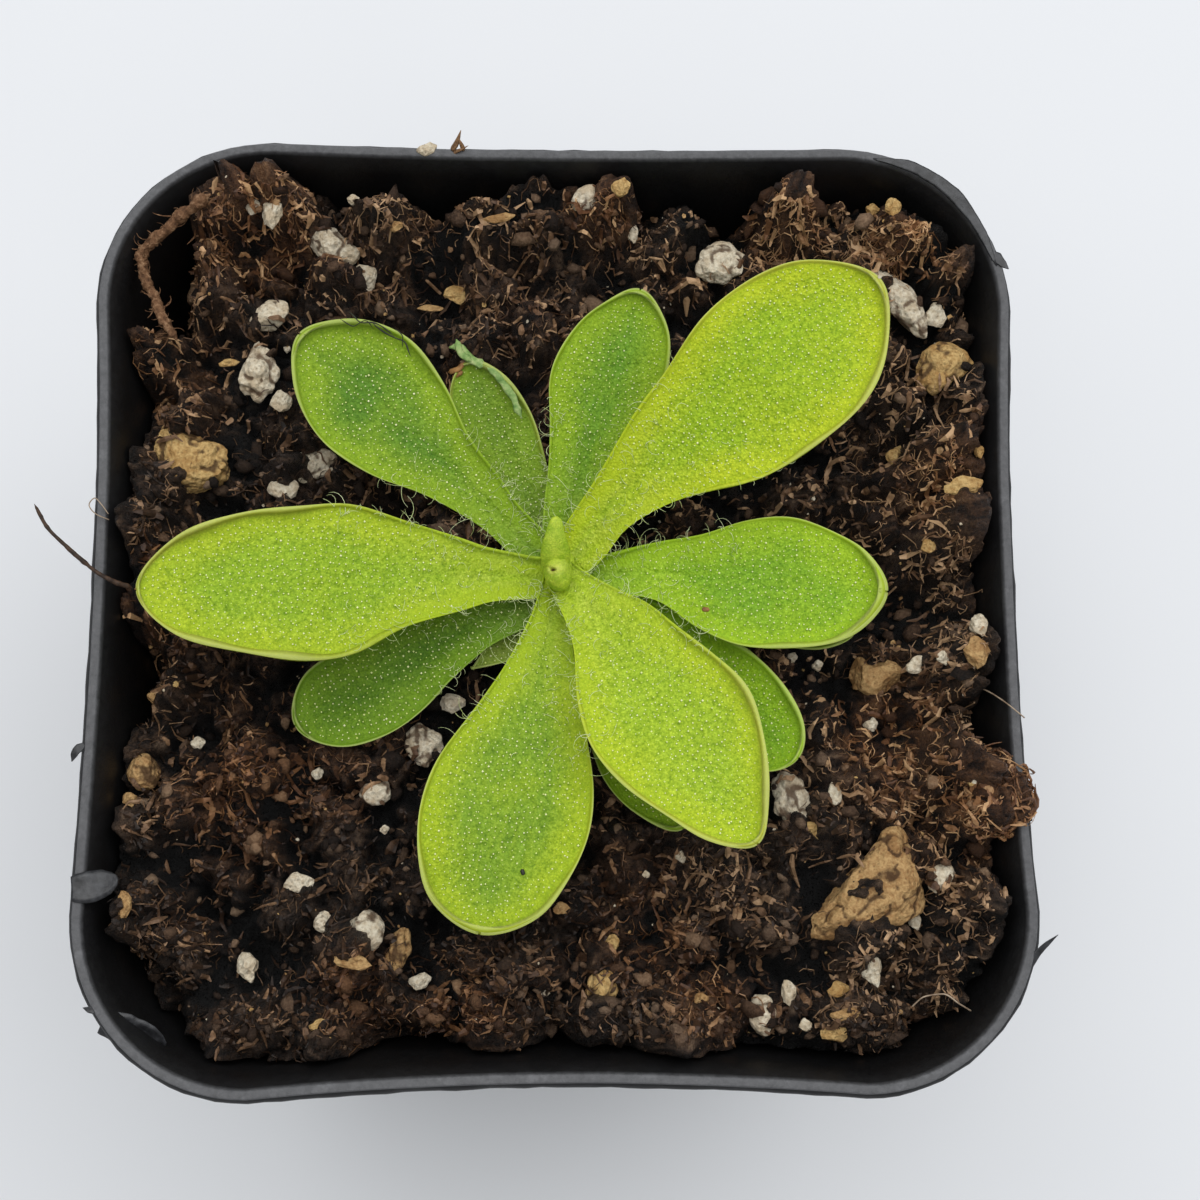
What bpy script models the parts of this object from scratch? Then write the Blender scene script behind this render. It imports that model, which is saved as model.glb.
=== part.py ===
"""Young butterwort rosette in a square nursery pot.

Lengths below are in millimetres and are scaled to metres when meshes are made.
+X is the right side, +Y the far side, +Z up; the origin is the middle of the
pot's underside.
"""
import math

import bmesh
import bpy
import numpy as np
from mathutils import Matrix, Vector, noise

MM = 0.001
GAP = 0.38

# Pot
RIM_Z = 72.0
POT_HALF_X = 38.0
POT_HALF_Y = 39.0
CORNER_RADIUS = 14.0
CORNER_RADIUS_FOOT = 10.5
TAPER = math.tan(math.radians(5.0))
LIP = 0.5
WALL = 1.05
FLOOR = 1.8
BOW_LEFT, BOW_RIGHT, BOW_FAR, BOW_NEAR = 0.65, 0.8, 0.4, 1.0
CORNER_STEPS = 6
SIDE_STEPS = 6
DRAIN_RADIUS = 3.0
DRAIN_PLACE = 19.0

# Soil
SOIL_TOP = -8.2
SOIL_STEPS = 38
SOIL_FOOT = 2.15
LEAF_CLEARANCE = 0.6

# Plant
CROWN_X, CROWN_Y = 0.0, 3.8
STEM_RADIUS = 1.1
STEM_FOOT = -14.0
BUD_RADIUS = 1.5
BLADE = 0.7
RIM_ROLL = 1.4
ROWS = 12
COLUMNS = (-1.0, -0.9, -0.55, 0.0, 0.55, 0.9, 1.0)

# Every leaf: direction in degrees, tip distance, stations (distance, left edge,
# right edge), heights below the rim (distance, height), cup depth, and how far
# the left and right margins turn up.
LEAVES = {
    "leaf_a": {
        "angle": 40.0, "tip": 33.5,
        "stations": ((1.5, 0.9, -0.9), (3.5, 1.6, -1.7), (6.6, 3.0, -2.2), (10.0, 4.1, -3.1),
                     (12.5, 4.9, -4.2), (15.6, 5.8, -6.0), (21.0, 7.1, -7.1), (26.3, 6.5, -7.2),
                     (30.3, 4.6, -5.1)),
        "heights": ((1.5, -3.7), (8.0, -1.1), (16.0, 2.0), (24.0, 4.2), (33.5, 5.0)),
        "cup": 0.7, "turn": (0.7, 1.0), "color": (0.30, 0.47, 0.035)},
    "leaf_b": {
        "angle": 74.0, "tip": 23.9,
        "stations": ((1.5, 0.7, -0.7), (4.9, 2.0, -1.6), (8.0, 3.1, -2.4), (11.3, 3.9, -3.4),
                     (15.5, 4.4, -4.4), (20.0, 3.2, -4.0), (22.0, 1.9, -3.0)),
        "heights": ((1.5, -6.15), (8.0, -4.9), (16.0, -3.4), (24.4, -2.4)),
        "cup": 0.5, "turn": (0.8, 0.5), "color": (0.16, 0.33, 0.03)},
    "leaf_c": {
        "angle": 113.0, "tip": 18.8,
        "stations": ((1.5, 0.7, -0.7), (5.4, 1.5, -1.5), (8.7, 1.9, -2.4), (13.1, 2.7, -2.8),
                     (16.7, 2.7, -1.8)),
        "heights": ((1.5, -7.35), (8.0, -6.5), (14.0, -5.1), (18.8, -4.0)),
        "cup": 0.4, "turn": (0.3, 0.5), "color": (0.20, 0.33, 0.06)},
    "leaf_d": {
        "angle": 142.0, "tip": 28.0,
        "stations": ((1.5, 0.75, -0.75), (4.0, 1.5, -1.3), (8.0, 2.0, -2.2), (12.5, 2.8, -3.2),
                     (16.5, 4.1, -5.0), (20.5, 4.3, -6.1), (23.7, 3.3, -5.7), (26.0, 1.7, -4.3)),
        "heights": ((1.5, -6.15), (8.0, -4.6), (16.0, -2.6), (22.0, -1.6), (28.5, -1.2)),
        "cup": 0.7, "turn": (1.0, 0.9), "color": (0.13, 0.32, 0.025)},
    "leaf_e": {
        "angle": 183.5, "tip": 33.3,
        "stations": ((1.5, 0.9, -0.9), (4.0, 2.5, -1.1), (7.8, 3.9, -1.5), (12.5, 5.3, -2.9),
                     (16.6, 7.4, -4.3), (20.5, 8.0, -4.5), (25.0, 7.1, -4.0), (30.3, 5.4, -2.2)),
        "heights": ((1.5, -4.95), (8.0, -2.4), (16.0, 0.3), (24.0, 2.3), (33.3, 2.8)),
        "cup": 0.6, "turn": (1.2, 0.8), "color": (0.27, 0.45, 0.03)},
    "leaf_f": {
        "angle": 209.0, "tip": 25.2,
        "stations": ((1.5, 0.7, -0.6), (5.0, 2.2, -0.6), (8.2, 3.0, -1.0), (12.7, 4.4, -1.6),
                     (15.4, 5.4, -1.9), (19.5, 5.8, -2.0), (23.0, 4.5, -1.4)),
        "heights": ((1.5, -6.2), (8.0, -5.4), (16.0, -4.7), (25.7, -4.4)),
        "cup": 0.4, "turn": (0.7, 0.5), "color": (0.10, 0.26, 0.02)},
    "leaf_g": {
        "angle": 230.0, "tip": 11.4,
        "stations": ((1.5, 0.6, -0.6), (5.0, 1.9, -0.8), (8.2, 2.7, -0.6), (10.3, 1.4, -0.3)),
        "heights": ((1.5, -7.35), (5.0, -7.0), (11.4, -6.7)),
        "cup": 0.3, "turn": (0.1, 0.1), "color": (0.22, 0.34, 0.09)},
    "leaf_h": {
        "angle": 260.0, "tip": 30.8,
        "stations": ((1.5, 0.75, -0.75), (3.4, 1.0, -1.0), (6.2, 2.0, -1.6), (9.7, 3.0, -2.4),
                     (13.8, 4.4, -4.1), (18.4, 5.8, -6.5), (22.0, 6.0, -7.3), (26.0, 4.9, -6.8),
                     (28.9, 3.2, -5.4)),
        "heights": ((1.5, -4.95), (8.0, -3.2), (16.0, -1.0), (24.0, 0.1), (31.2, 0.0)),
        "cup": 0.6, "turn": (0.8, 0.8), "color": (0.18, 0.38, 0.03)},
    "leaf_i": {
        "angle": 306.0, "tip": 28.1,
        "stations": ((1.5, 1.1, -1.1), (4.0, 1.9, -2.3), (6.8, 2.8, -3.5), (10.8, 4.0, -6.1),
                     (14.0, 4.7, -7.3), (18.0, 5.1, -7.3), (22.0, 3.9, -6.0), (25.6, 1.5, -4.5)),
        "heights": ((1.5, -3.6), (6.0, -1.5), (12.0, 1.2), (20.0, 3.4), (28.4, 3.9)),
        "cup": 0.7, "turn": (1.1, 0.9), "color": (0.33, 0.52, 0.04)},
    "leaf_j": {
        "angle": 295.0, "tip": 24.2,
        "stations": ((1.5, 0.6, -0.6), (6.0, 2.0, -2.0), (10.0, 3.0, -2.9), (14.2, 3.4, -3.5),
                     (17.6, 3.6, -3.9), (21.1, 2.6, -2.9)),
        "heights": ((1.5, -7.35), (8.0, -7.0), (16.0, -6.3), (24.2, -5.2)),
        "cup": 0.4, "turn": (0.5, 0.7), "color": (0.11, 0.28, 0.02)},
    "leaf_k": {
        "angle": 321.0, "tip": 25.7,
        "stations": ((1.5, 0.7, -0.7), (6.0, 1.8, -1.8), (10.0, 2.6, -2.6), (12.5, 3.1, -3.2),
                     (17.0, 3.8, -3.9), (21.0, 3.2, -3.8), (24.2, 1.6, -2.5)),
        "heights": ((1.5, -6.15), (8.0, -5.3), (16.0, -4.5), (26.0, -3.8)),
        "cup": 0.7, "turn": (0.9, 0.6), "color": (0.12, 0.30, 0.02)},
    "leaf_l": {
        "angle": 355.6, "tip": 26.8,
        "stations": ((1.5, 0.75, -0.75), (4.0, 1.0, -1.6), (6.6, 1.6, -2.3), (8.5, 2.1, -3.0),
                     (11.8, 2.8, -4.8), (15.0, 4.0, -6.0), (19.0, 4.5, -6.1), (22.9, 3.3, -5.4),
                     (25.0, 2.0, -4.1)),
        "heights": ((1.5, -4.95), (8.0, -3.6), (16.0, -1.8), (26.8, -0.8)),
        "cup": 0.5, "turn": (0.6, 1.1), "color": (0.17, 0.36, 0.03)},
    "leaf_m": {
        "angle": 346.0, "tip": 25.6,
        "stations": ((1.5, 0.8, -0.2), (4.0, 2.2, -0.4), (6.8, 3.5, -0.6), (10.0, 3.9, -1.2),
                     (15.0, 3.9, -2.2), (21.0, 3.3, -2.1), (23.6, 2.2, -1.5)),
        "heights": ((1.5, -7.35), (8.0, -6.7), (16.0, -5.8), (25.6, -4.6)),
        "cup": 0.3, "turn": (0.3, 0.5), "color": (0.13, 0.30, 0.03)},
}

# Soil relief: clumps and hollows as (x, y, radius along x, radius along y, height).
CLUMPS = (
    (-26.2, 34.6, 4.6, 3.2, 8.0), (19.0, 35.4, 3.2, 2.6, 7.6), (31.0, 33.0, 3.6, 3.4, 7.0),
    (33.6, -15.8, 3.6, 4.6, 8.6), (32.6, -27.0, 3.0, 6.0, 5.2), (-25.6, -14.6, 5.6, 4.4, 3.6),
    (0.2, 34.6, 4.4, 3.0, 5.4), (24.0, 33.6, 4.0, 3.2, 5.6), (24.6, 14.4, 3.0, 2.4, 2.0),
    (-34.6, 21.8, 2.2, 3.0, 5.4), (-33.4, 3.0, 3.2, 4.4, 5.6), (-32.6, -26.0, 3.2, 3.6, 3.0),
    (-20.6, -33.0, 4.6, 2.8, 3.4), (7.4, -33.6, 4.2, 2.8, 3.2), (22.6, -33.0, 4.4, 2.8, 4.0),
    (34.6, 10.0, 2.6, 6.6, 4.8), (33.0, 29.0, 3.6, 3.6, 5.4), (-7.0, 33.0, 3.4, 3.0, 3.2),
    (11.4, 34.6, 3.0, 2.6, 3.4), (-14.6, 31.6, 3.0, 3.0, 2.6), (32.6, -2.6, 3.4, 4.0, 4.0),
    (-29.0, -4.0, 3.6, 3.2, 1.6), (-31.0, 30.5, 2.4, 2.4, 3.4), (12.0, -25.0, 3.6, 4.4, 2.0),
    (-6.0, -31.0, 4.4, 3.4, 2.0), (-29.6, -31.5, 2.8, 2.4, 1.6), (27.0, 23.0, 3.2, 3.2, 2.0),
    (-24.0, 8.0, 3.0, 2.4, 1.6), (-12.0, 24.0, 3.4, 3.0, 1.8), (6.0, 26.0, 4.0, 3.0, 1.6),
)
HOLLOWS = (
    (-33.8, 29.0, 2.6, 4.6, 8.5), (-34.8, 15.0, 2.4, 3.6, 8.5), (-8.2, 37.6, 4.2, 2.2, 6.5),
    (14.8, 36.8, 2.2, 2.4, 6.0), (-34.4, -32.0, 3.6, 4.6, 6.5), (-13.0, -35.6, 3.6, 2.0, 5.0),
    (1.6, -35.8, 2.6, 2.6, 5.0), (-18.0, 37.4, 4.0, 2.2, 6.0), (-34.6, -6.0, 2.0, 3.2, 4.0),
    (33.0, -35.0, 5.0, 3.0, 4.0), (14.0, 2.0, 7.0, 5.0, 1.4), (-8.0, 12.0, 5.0, 5.0, 1.2),
    (-3.0, -6.0, 5.0, 5.0, 1.4), (10.0, 16.0, 5.0, 4.0, 1.0), (18.6, 8.8, 4.0, 2.4, 1.2),
)
CALM_RADIUS = 27.0

# Grains: centre x, y and height below the rim, half sizes, turn in degrees,
# tilt in degrees, seed, colour, roughness.
CREAM = (0.66, 0.56, 0.44)
GOLD = (0.50, 0.34, 0.16)
TAN = (0.40, 0.25, 0.13)
GRAINS = {
    "grain_gold_left": (-30.8, 12.8, -5.4, 3.6, 2.5, 1.9, -14.0, 0.0, 3, GOLD),
    "grain_tan_big": (24.9, -23.6, -4.6, 5.4, 3.1, 2.3, 38.0, 0.0, 5, TAN),
    "grain_gold_right": (32.5, 20.2, -2.9, 2.7, 1.9, 1.7, 38.0, 0.0, 7, GOLD),
    "perlite_left": (-25.4, 20.4, -5.6, 1.6, 2.7, 1.3, -6.0, 0.0, 11, CREAM),
    "perlite_far_left": (-19.2, 31.6, -5.0, 2.6, 1.4, 1.3, -38.0, 0.0, 13, CREAM),
    "perlite_upper_left": (-24.9, 25.6, -5.8, 2.0, 1.2, 1.1, 28.0, 0.0, 17, CREAM),
    "perlite_flat": (-21.2, 12.6, -6.6, 2.4, 1.4, 0.9, 6.0, 0.0, 19, CREAM),
    "perlite_far": (14.1, 30.6, -5.4, 2.0, 1.7, 1.3, 12.0, 0.0, 23, CREAM),
    "perlite_under_k": (19.4, -15.8, -7.3, 1.5, 2.3, 1.2, 12.0, 0.0, 29, CREAM),
    "perlite_behind_a": (29.4, 26.8, -4.0, 3.7, 1.3, 1.2, -52.0, 0.0, 31, CREAM),
    "pumice_mid": (-11.2, -11.2, -7.6, 1.5, 1.8, 0.9, 10.0, 0.0, 37, CREAM),
    "grain_cream_far": (2.7, 35.0, -2.0, 1.7, 1.2, 1.1, 10.0, 0.0, 41, CREAM),
    "grain_brown_left": (-33.6, -13.6, -4.6, 1.3, 1.5, 1.3, 0.0, 0.0, 43, TAN),
    "perlite_near_left": (-15.6, -26.2, -6.0, 1.4, 1.5, 1.2, 20.0, 0.0, 47, CREAM),
    "bark_near_left": (-12.9, -27.8, -6.2, 0.9, 1.9, 0.9, -8.0, 0.0, 53, TAN),
    "grain_cream_mid": (-15.1, -15.0, -7.2, 1.3, 1.2, 0.9, 15.0, 0.0, 59, CREAM),
    "grain_olive_near": (3.4, -31.4, -6.2, 1.2, 1.8, 1.0, -16.0, 0.0, 61, GOLD),
    "pumice_near": (16.6, -33.2, -5.8, 1.0, 1.7, 0.9, 8.0, 0.0, 67, CREAM),
    "grain_cream_right": (31.0, -22.2, -3.2, 1.0, 1.4, 0.9, -20.0, 0.0, 71, CREAM),
}

# Roots and twigs: points x, y, height below the rim, and a radius.
TWIGS = {
    "root_bent": (0.48, (
        (-29.0, 33.9, 0.6), (-31.7, 31.7, -0.6), (-34.3, 28.9, -1.6), (-33.7, 26.7, -2.4),
        (-32.8, 24.4, -2.2), (-32.0, 22.6, -2.4)), (0.20, 0.10, 0.05)),
    "twig_left": (0.31, (
        (-34.2, 0.9, 0.0), (-35.3, 1.2, 0.6), (-36.4, 1.7, 1.1), (-37.6, 2.6, 1.5),
        (-39.2, 4.0, 1.7), (-40.6, 5.4, 1.9), (-41.6, 7.2, 2.3)), (0.16, 0.09, 0.05)),
}


def clear_scene():
    """Empty the scene."""
    for item in list(bpy.data.objects):
        bpy.data.objects.remove(item, do_unlink=True)


def make_material(name, color, roughness):
    """Plain Principled material of one sub-part."""
    material = bpy.data.materials.new(name)
    material.use_nodes = True
    shader = material.node_tree.nodes["Principled BSDF"]
    shader.inputs["Base Color"].default_value = (*color, 1.0)
    shader.inputs["Roughness"].default_value = roughness
    shader.inputs["Metallic"].default_value = 0.0
    return material


def add_mesh(name, points, faces, color=None, roughness=0.6):
    """Make a named object from points in millimetres."""
    mesh = bpy.data.meshes.new(name)
    mesh.from_pydata([tuple(c * MM for c in p) for p in points], [], faces)
    mesh.validate()
    part = bpy.data.objects.new(name, mesh)
    bpy.context.collection.objects.link(part)
    if color is not None:
        mesh.materials.append(make_material(name + "_material", color, roughness))
    return part


def make_guide(part):
    """Mark an object as a cutter that isn't a piece of its own."""
    part.hide_render = True
    part.display_type = "WIRE"


def cut(target, cutter, operation="DIFFERENCE"):
    """Cut or join with an exact Boolean."""
    make_guide(cutter)
    modifier = target.modifiers.new(operation.lower(), "BOOLEAN")
    modifier.operation = operation
    modifier.solver = "EXACT"
    modifier.object = cutter


def side_bow(x, y, half_x, half_y):
    """Inward bow of the four sides at one point of the outline."""
    along_y = max(0.0, 1.0 - (y / (half_y - CORNER_RADIUS)) ** 2)
    along_x = max(0.0, 1.0 - (x / (half_x - CORNER_RADIUS)) ** 2)
    shift_x = 0.0
    shift_y = 0.0
    if abs(x) > 0.8 * half_x:
        shift_x = (BOW_LEFT if x < 0 else -BOW_RIGHT) * along_y
    if abs(y) > 0.8 * half_y:
        shift_y = (BOW_NEAR if y < 0 else -BOW_FAR) * along_x
    return shift_x, shift_y


def outline(inset, z, corner_steps=CORNER_STEPS, side_steps=SIDE_STEPS):
    """Rounded-square outline of the pot wall at a height, moved inward by inset."""
    drop = (RIM_Z - z) * TAPER
    half_x = POT_HALF_X - drop
    half_y = POT_HALF_Y - drop
    share = (RIM_Z - z) / RIM_Z
    radius = CORNER_RADIUS + (CORNER_RADIUS_FOOT - CORNER_RADIUS) * share - inset
    points = []
    corners = ((1, 1, 0), (-1, 1, 90), (-1, -1, 180), (1, -1, 270))
    for index, (sign_x, sign_y, start) in enumerate(corners):
        centre_x = sign_x * (half_x - inset - radius)
        centre_y = sign_y * (half_y - inset - radius)
        for step in range(corner_steps + 1):
            angle = math.radians(start + 90.0 * step / corner_steps)
            points.append((centre_x + radius * math.cos(angle), centre_y + radius * math.sin(angle)))
        following = corners[(index + 1) % 4]
        next_x = following[0] * (half_x - inset - radius)
        next_y = following[1] * (half_y - inset - radius)
        angle = math.radians(start + 90.0)
        begin = points[-1]
        end = (next_x + radius * math.cos(angle), next_y + radius * math.sin(angle))
        for step in range(1, side_steps):
            part = step / side_steps
            points.append((begin[0] + (end[0] - begin[0]) * part, begin[1] + (end[1] - begin[1]) * part))
    bowed = []
    for x, y in points:
        shift_x, shift_y = side_bow(x, y, half_x, half_y)
        bowed.append((x + shift_x * (1.0 - share), y + shift_y * (1.0 - share), z))
    return bowed


def lathe_rings(rings, close_start=True, close_end=True):
    """Faces between equal rings of points."""
    count = len(rings[0])
    points = [p for ring in rings for p in ring]
    faces = []
    for level in range(len(rings) - 1):
        for step in range(count):
            following = (step + 1) % count
            low = level * count
            high = (level + 1) * count
            faces.append((low + step, low + following, high + following, high + step))
    if close_start:
        faces.append(tuple(reversed(range(count))))
    if close_end:
        faces.append(tuple(range((len(rings) - 1) * count, len(rings) * count)))
    return points, faces


def make_pot():
    """Thin tapered pot with a stepped rim and four drain holes."""
    wall = WALL + LIP
    rings = [
        outline(LIP + 1.0, 0.0), outline(LIP, 1.0), outline(LIP, 36.0), outline(LIP, 69.6),
        outline(0.0, 70.2), outline(0.0, 71.3), outline(0.3, 71.5), outline(LIP, 71.6),
        outline(LIP + 0.05, RIM_Z), outline(wall - 0.05, RIM_Z), outline(wall, 71.7),
        outline(wall, 36.0), outline(wall, FLOOR),
    ]
    points, faces = lathe_rings(rings)
    pot = add_mesh("pot", points, faces, (0.035, 0.035, 0.038), 0.42)
    for sign_x in (-1, 1):
        for sign_y in (-1, 1):
            drill = add_drill(sign_x * DRAIN_PLACE, sign_y * DRAIN_PLACE)
            cut(pot, drill)
    return pot


def add_drill(x, y):
    """Upright cylinder for one drain hole."""
    rings = []
    for z in (-2.0, FLOOR + 2.0):
        ring = []
        for step in range(16):
            angle = 2.0 * math.pi * step / 16
            ring.append((x + DRAIN_RADIUS * math.cos(angle), y + DRAIN_RADIUS * math.sin(angle), z))
        rings.append(ring)
    points, faces = lathe_rings(rings)
    return add_mesh("drill", points, faces)


def interpolate(knots, values, at):
    """Smooth curve through the knots that doesn't overshoot."""
    knots = np.asarray(knots, float)
    values = np.asarray(values, float)
    at = np.clip(np.asarray(at, float), knots[0], knots[-1])
    width = np.diff(knots)
    slope = np.diff(values) / width
    tangent = np.zeros(len(knots))
    tangent[0] = slope[0]
    tangent[-1] = slope[-1]
    for index in range(1, len(knots) - 1):
        before = slope[index - 1]
        after = slope[index]
        if before * after > 0:
            first = 2.0 * width[index] + width[index - 1]
            second = width[index] + 2.0 * width[index - 1]
            tangent[index] = (first + second) / (first / before + second / after)
    cell = np.clip(np.searchsorted(knots, at, side="right") - 1, 0, len(width) - 1)
    t = (at - knots[cell]) / width[cell]
    span = width[cell]
    return (values[cell] * (1 + 2 * t) * (1 - t) ** 2 + tangent[cell] * span * t * (1 - t) ** 2
            + values[cell + 1] * t * t * (3 - 2 * t) + tangent[cell + 1] * span * t * t * (t - 1))


def leaf_surface(leaf, along, across):
    """Upper face of a leaf for shares along (0..1) and across (-1..1)."""
    stations = np.array(leaf["stations"])
    heights = np.array(leaf["heights"])
    shoulder = stations[-1, 0]
    base = stations[0, 0]
    reach = leaf["tip"] - shoulder
    edge = base + (shoulder - base) * along
    left = interpolate(stations[:, 0], stations[:, 1], edge)
    right = interpolate(stations[:, 0], stations[:, 2], edge)
    middle = 0.5 * (left + right)
    half = 0.5 * (left - right)
    crest = np.sqrt(np.clip(1.0 - np.abs(across) ** 2.3, 0.0, 1.0))
    distance = edge + reach * along ** 4 * crest
    side = middle + half * across
    height = interpolate(heights[:, 0], heights[:, 1], distance)
    left_turn, right_turn = leaf["turn"]
    turn = np.where(across > 0, left_turn, right_turn)
    to_side = (1.0 - np.abs(across)) * half
    to_tip = reach * (1.0 - along ** 4) + (shoulder - edge)
    inner = np.minimum(to_side, to_tip)
    grow = np.clip((edge - base) / 8.0, 0.0, 1.0)
    rolled = turn * grow * np.clip(1.0 - inner / RIM_ROLL, 0.0, 1.0) ** 1.6
    cup = leaf["cup"] * grow * np.abs(across) ** 2
    wave = 0.18 * grow * np.sin(edge * 0.7 + leaf["angle"]) * across
    return distance, side, height + cup + rolled + wave


def place_leaf(leaf, distance, side, height):
    """Turn leaf distances into pot coordinates."""
    angle = math.radians(leaf["angle"])
    x = CROWN_X + distance * math.cos(angle) - side * math.sin(angle)
    y = CROWN_Y + distance * math.sin(angle) + side * math.cos(angle)
    return x, y, RIM_Z + height


def row_shares(rows):
    """Shares along a leaf, closer together near the tip."""
    return [1.0 - (1.0 - step / rows) ** 1.25 for step in range(rows + 1)]


def leaf_grid(leaf, rows, columns):
    """Upper points of a leaf as an array of rows and columns."""
    along, across = np.meshgrid(row_shares(rows), columns, indexing="ij")
    x, y, z = place_leaf(leaf, *leaf_surface(leaf, along, across))
    return np.stack([x, y, z], axis=-1)


def lower_grid(top):
    """Lower points straight below, so that the blade keeps its thickness."""
    du = np.gradient(top, axis=0)
    dv = np.gradient(top, axis=1)
    normal = np.cross(du, dv)
    upright = np.abs(normal[..., 2]) / np.maximum(np.linalg.norm(normal, axis=-1), 1e-9)
    low = top.copy()
    low[..., 2] -= BLADE / np.maximum(upright, 0.66)
    return low


def blade_faces(rows, columns):
    """Closed faces of a blade whose lower points follow the upper ones."""
    offset = rows * columns
    faces = []
    for i in range(rows - 1):
        for j in range(columns - 1):
            a = i * columns + j
            b = a + 1
            c = a + columns + 1
            d = a + columns
            faces.append((a, d, c))
            faces.append((a, c, b))
            faces.append((a + offset, c + offset, d + offset))
            faces.append((a + offset, b + offset, c + offset))
    ring = [j for j in range(columns)]
    ring += [i * columns + columns - 1 for i in range(1, rows)]
    ring += [(rows - 1) * columns + j for j in range(columns - 2, -1, -1)]
    ring += [i * columns for i in range(rows - 2, 0, -1)]
    for index, start in enumerate(ring):
        end = ring[(index + 1) % len(ring)]
        faces.append((start, end, end + offset, start + offset))
    return faces


def make_leaf(name, leaf):
    """One closed leaf."""
    top = leaf_grid(leaf, ROWS, COLUMNS)
    low = lower_grid(top)
    points = [tuple(p) for p in top.reshape(-1, 3)] + [tuple(p) for p in low.reshape(-1, 3)]
    faces = blade_faces(ROWS + 1, len(COLUMNS))
    return add_mesh(name, points, faces, leaf["color"], 0.45)


def fix_normals(part):
    """Turn all faces outward."""
    work = bmesh.new()
    work.from_mesh(part.data)
    bmesh.ops.recalc_face_normals(work, faces=work.faces)
    work.to_mesh(part.data)
    work.free()


def make_crown():
    """Short stem with the bud, and the youngest leaf grown on it."""
    profile = (
        (0.55, STEM_FOOT), (0.9, STEM_FOOT + 0.6), (STEM_RADIUS, STEM_FOOT + 2.0),
        (STEM_RADIUS, -3.3), (BUD_RADIUS, -2.9), (BUD_RADIUS + 0.05, -2.0), (1.2, -1.2),
        (0.7, -0.8),
    )
    rings = []
    for radius, height in profile:
        ring = []
        for step in range(16):
            angle = 2.0 * math.pi * step / 16
            ring.append((CROWN_X + radius * math.cos(angle), CROWN_Y + radius * math.sin(angle),
                         RIM_Z + height))
        rings.append(ring)
    points, faces = lathe_rings(rings)
    crown = add_mesh("crown", points, faces, (0.26, 0.42, 0.04), 0.45)
    young = {
        "angle": 95.0, "tip": 3.1,
        "stations": ((-0.4, 0.9, -0.9), (0.8, 1.1, -1.0), (1.8, 0.8, -0.8), (2.5, 0.5, -0.5)),
        "heights": ((-0.4, -1.2), (0.8, -0.6), (1.8, 0.3), (3.1, 1.6)),
        "cup": 0.3, "turn": (0.2, 0.2)}
    top = leaf_grid(young, 5, COLUMNS)
    low = lower_grid(top)
    low[..., 2] -= 0.4
    points = [tuple(p) for p in top.reshape(-1, 3)] + [tuple(p) for p in low.reshape(-1, 3)]
    tongue = add_mesh("young_leaf_form", points, blade_faces(6, len(COLUMNS)))
    cut(crown, tongue, "UNION")
    return crown


def bumps(x, y, items):
    """Sum of rounded bumps at one place."""
    total = 0.0
    for cx, cy, rx, ry, height in items:
        reach = ((x - cx) / rx) ** 2 + ((y - cy) / ry) ** 2
        if reach < 6.0:
            total += height * math.exp(-reach ** 1.5)
    return total


def seat_limits(x, y):
    """Lowest and highest soil beside the grains, so that each lies half sunk."""
    low = -99.0
    high = 99.0
    for gx, gy, height, rx, ry, rz, turn, _, _, _ in GRAINS.values():
        angle = math.radians(turn)
        along = (x - gx) * math.cos(angle) + (y - gy) * math.sin(angle)
        aside = (y - gy) * math.cos(angle) - (x - gx) * math.sin(angle)
        reach = (along / (rx + 1.2)) ** 2 + (aside / (ry + 1.2)) ** 2
        if reach < 2.5:
            low = max(low, height - 0.3 * rz - 2.0 * max(0.0, reach - 1.0))
        if reach < 1.2:
            high = min(high, height + 0.15 * rz)
    return low, high


def soil_height(x, y):
    """Height of the soil below the rim before it is cleared from other pieces."""
    away = math.hypot(x - CROWN_X, y - CROWN_Y)
    calm = 0.35 + 0.65 * min(1.0, max(0.0, (away - 10.0) / (CALM_RADIUS - 10.0)))
    rough = 1.5 * noise.noise(Vector((x / 6.5, y / 6.5, 3.1)))
    rough += 1.1 * noise.noise(Vector((x / 3.1, y / 3.1, 8.7)))
    height = SOIL_TOP + calm * rough
    height += bumps(x, y, CLUMPS) - bumps(x, y, HOLLOWS)
    low, high = seat_limits(x, y)
    return min(max(height, low), high, 1.0)


def wall_reach(angle, z, inset):
    """Distance from the axis to the outline in one direction."""
    ring = outline(inset, z)
    best = None
    for index, (ax, ay, _) in enumerate(ring):
        bx, by, _ = ring[(index + 1) % len(ring)]
        dx = math.cos(angle)
        dy = math.sin(angle)
        ex = bx - ax
        ey = by - ay
        cross = dx * ey - dy * ex
        if abs(cross) < 1e-9:
            continue
        reach = (ax * ey - ay * ex) / cross
        share = (ax * dy - ay * dx) / cross
        if reach > 0 and -1e-6 <= share <= 1 + 1e-6:
            best = reach if best is None else max(best, reach)
    return best


def keep_below(x, y, obstacles, margin):
    """Highest soil allowed under the obstacles near one place."""
    near = np.hypot(obstacles[:, 0] - x, obstacles[:, 1] - y) < margin
    if not near.any():
        return 99.0
    return float(obstacles[near, 2].min())


def soil_plan(step_x, step_y, z):
    """Plan position of one soil grid point."""
    a = 2.0 * step_x / SOIL_STEPS - 1.0
    b = 2.0 * step_y / SOIL_STEPS - 1.0
    square = max(abs(a), abs(b))
    if square == 0.0:
        return 0.0, 0.0
    angle = math.atan2(b, a)
    reach = wall_reach(angle, z, WALL + LIP + GAP)
    length = math.hypot(a, b)
    full = reach * square
    plain = length * (POT_HALF_X - WALL - LIP - 1.0)
    blend = square ** 3
    radius = plain * (1.0 - blend) + full * blend
    return radius * a / length, radius * b / length


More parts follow.
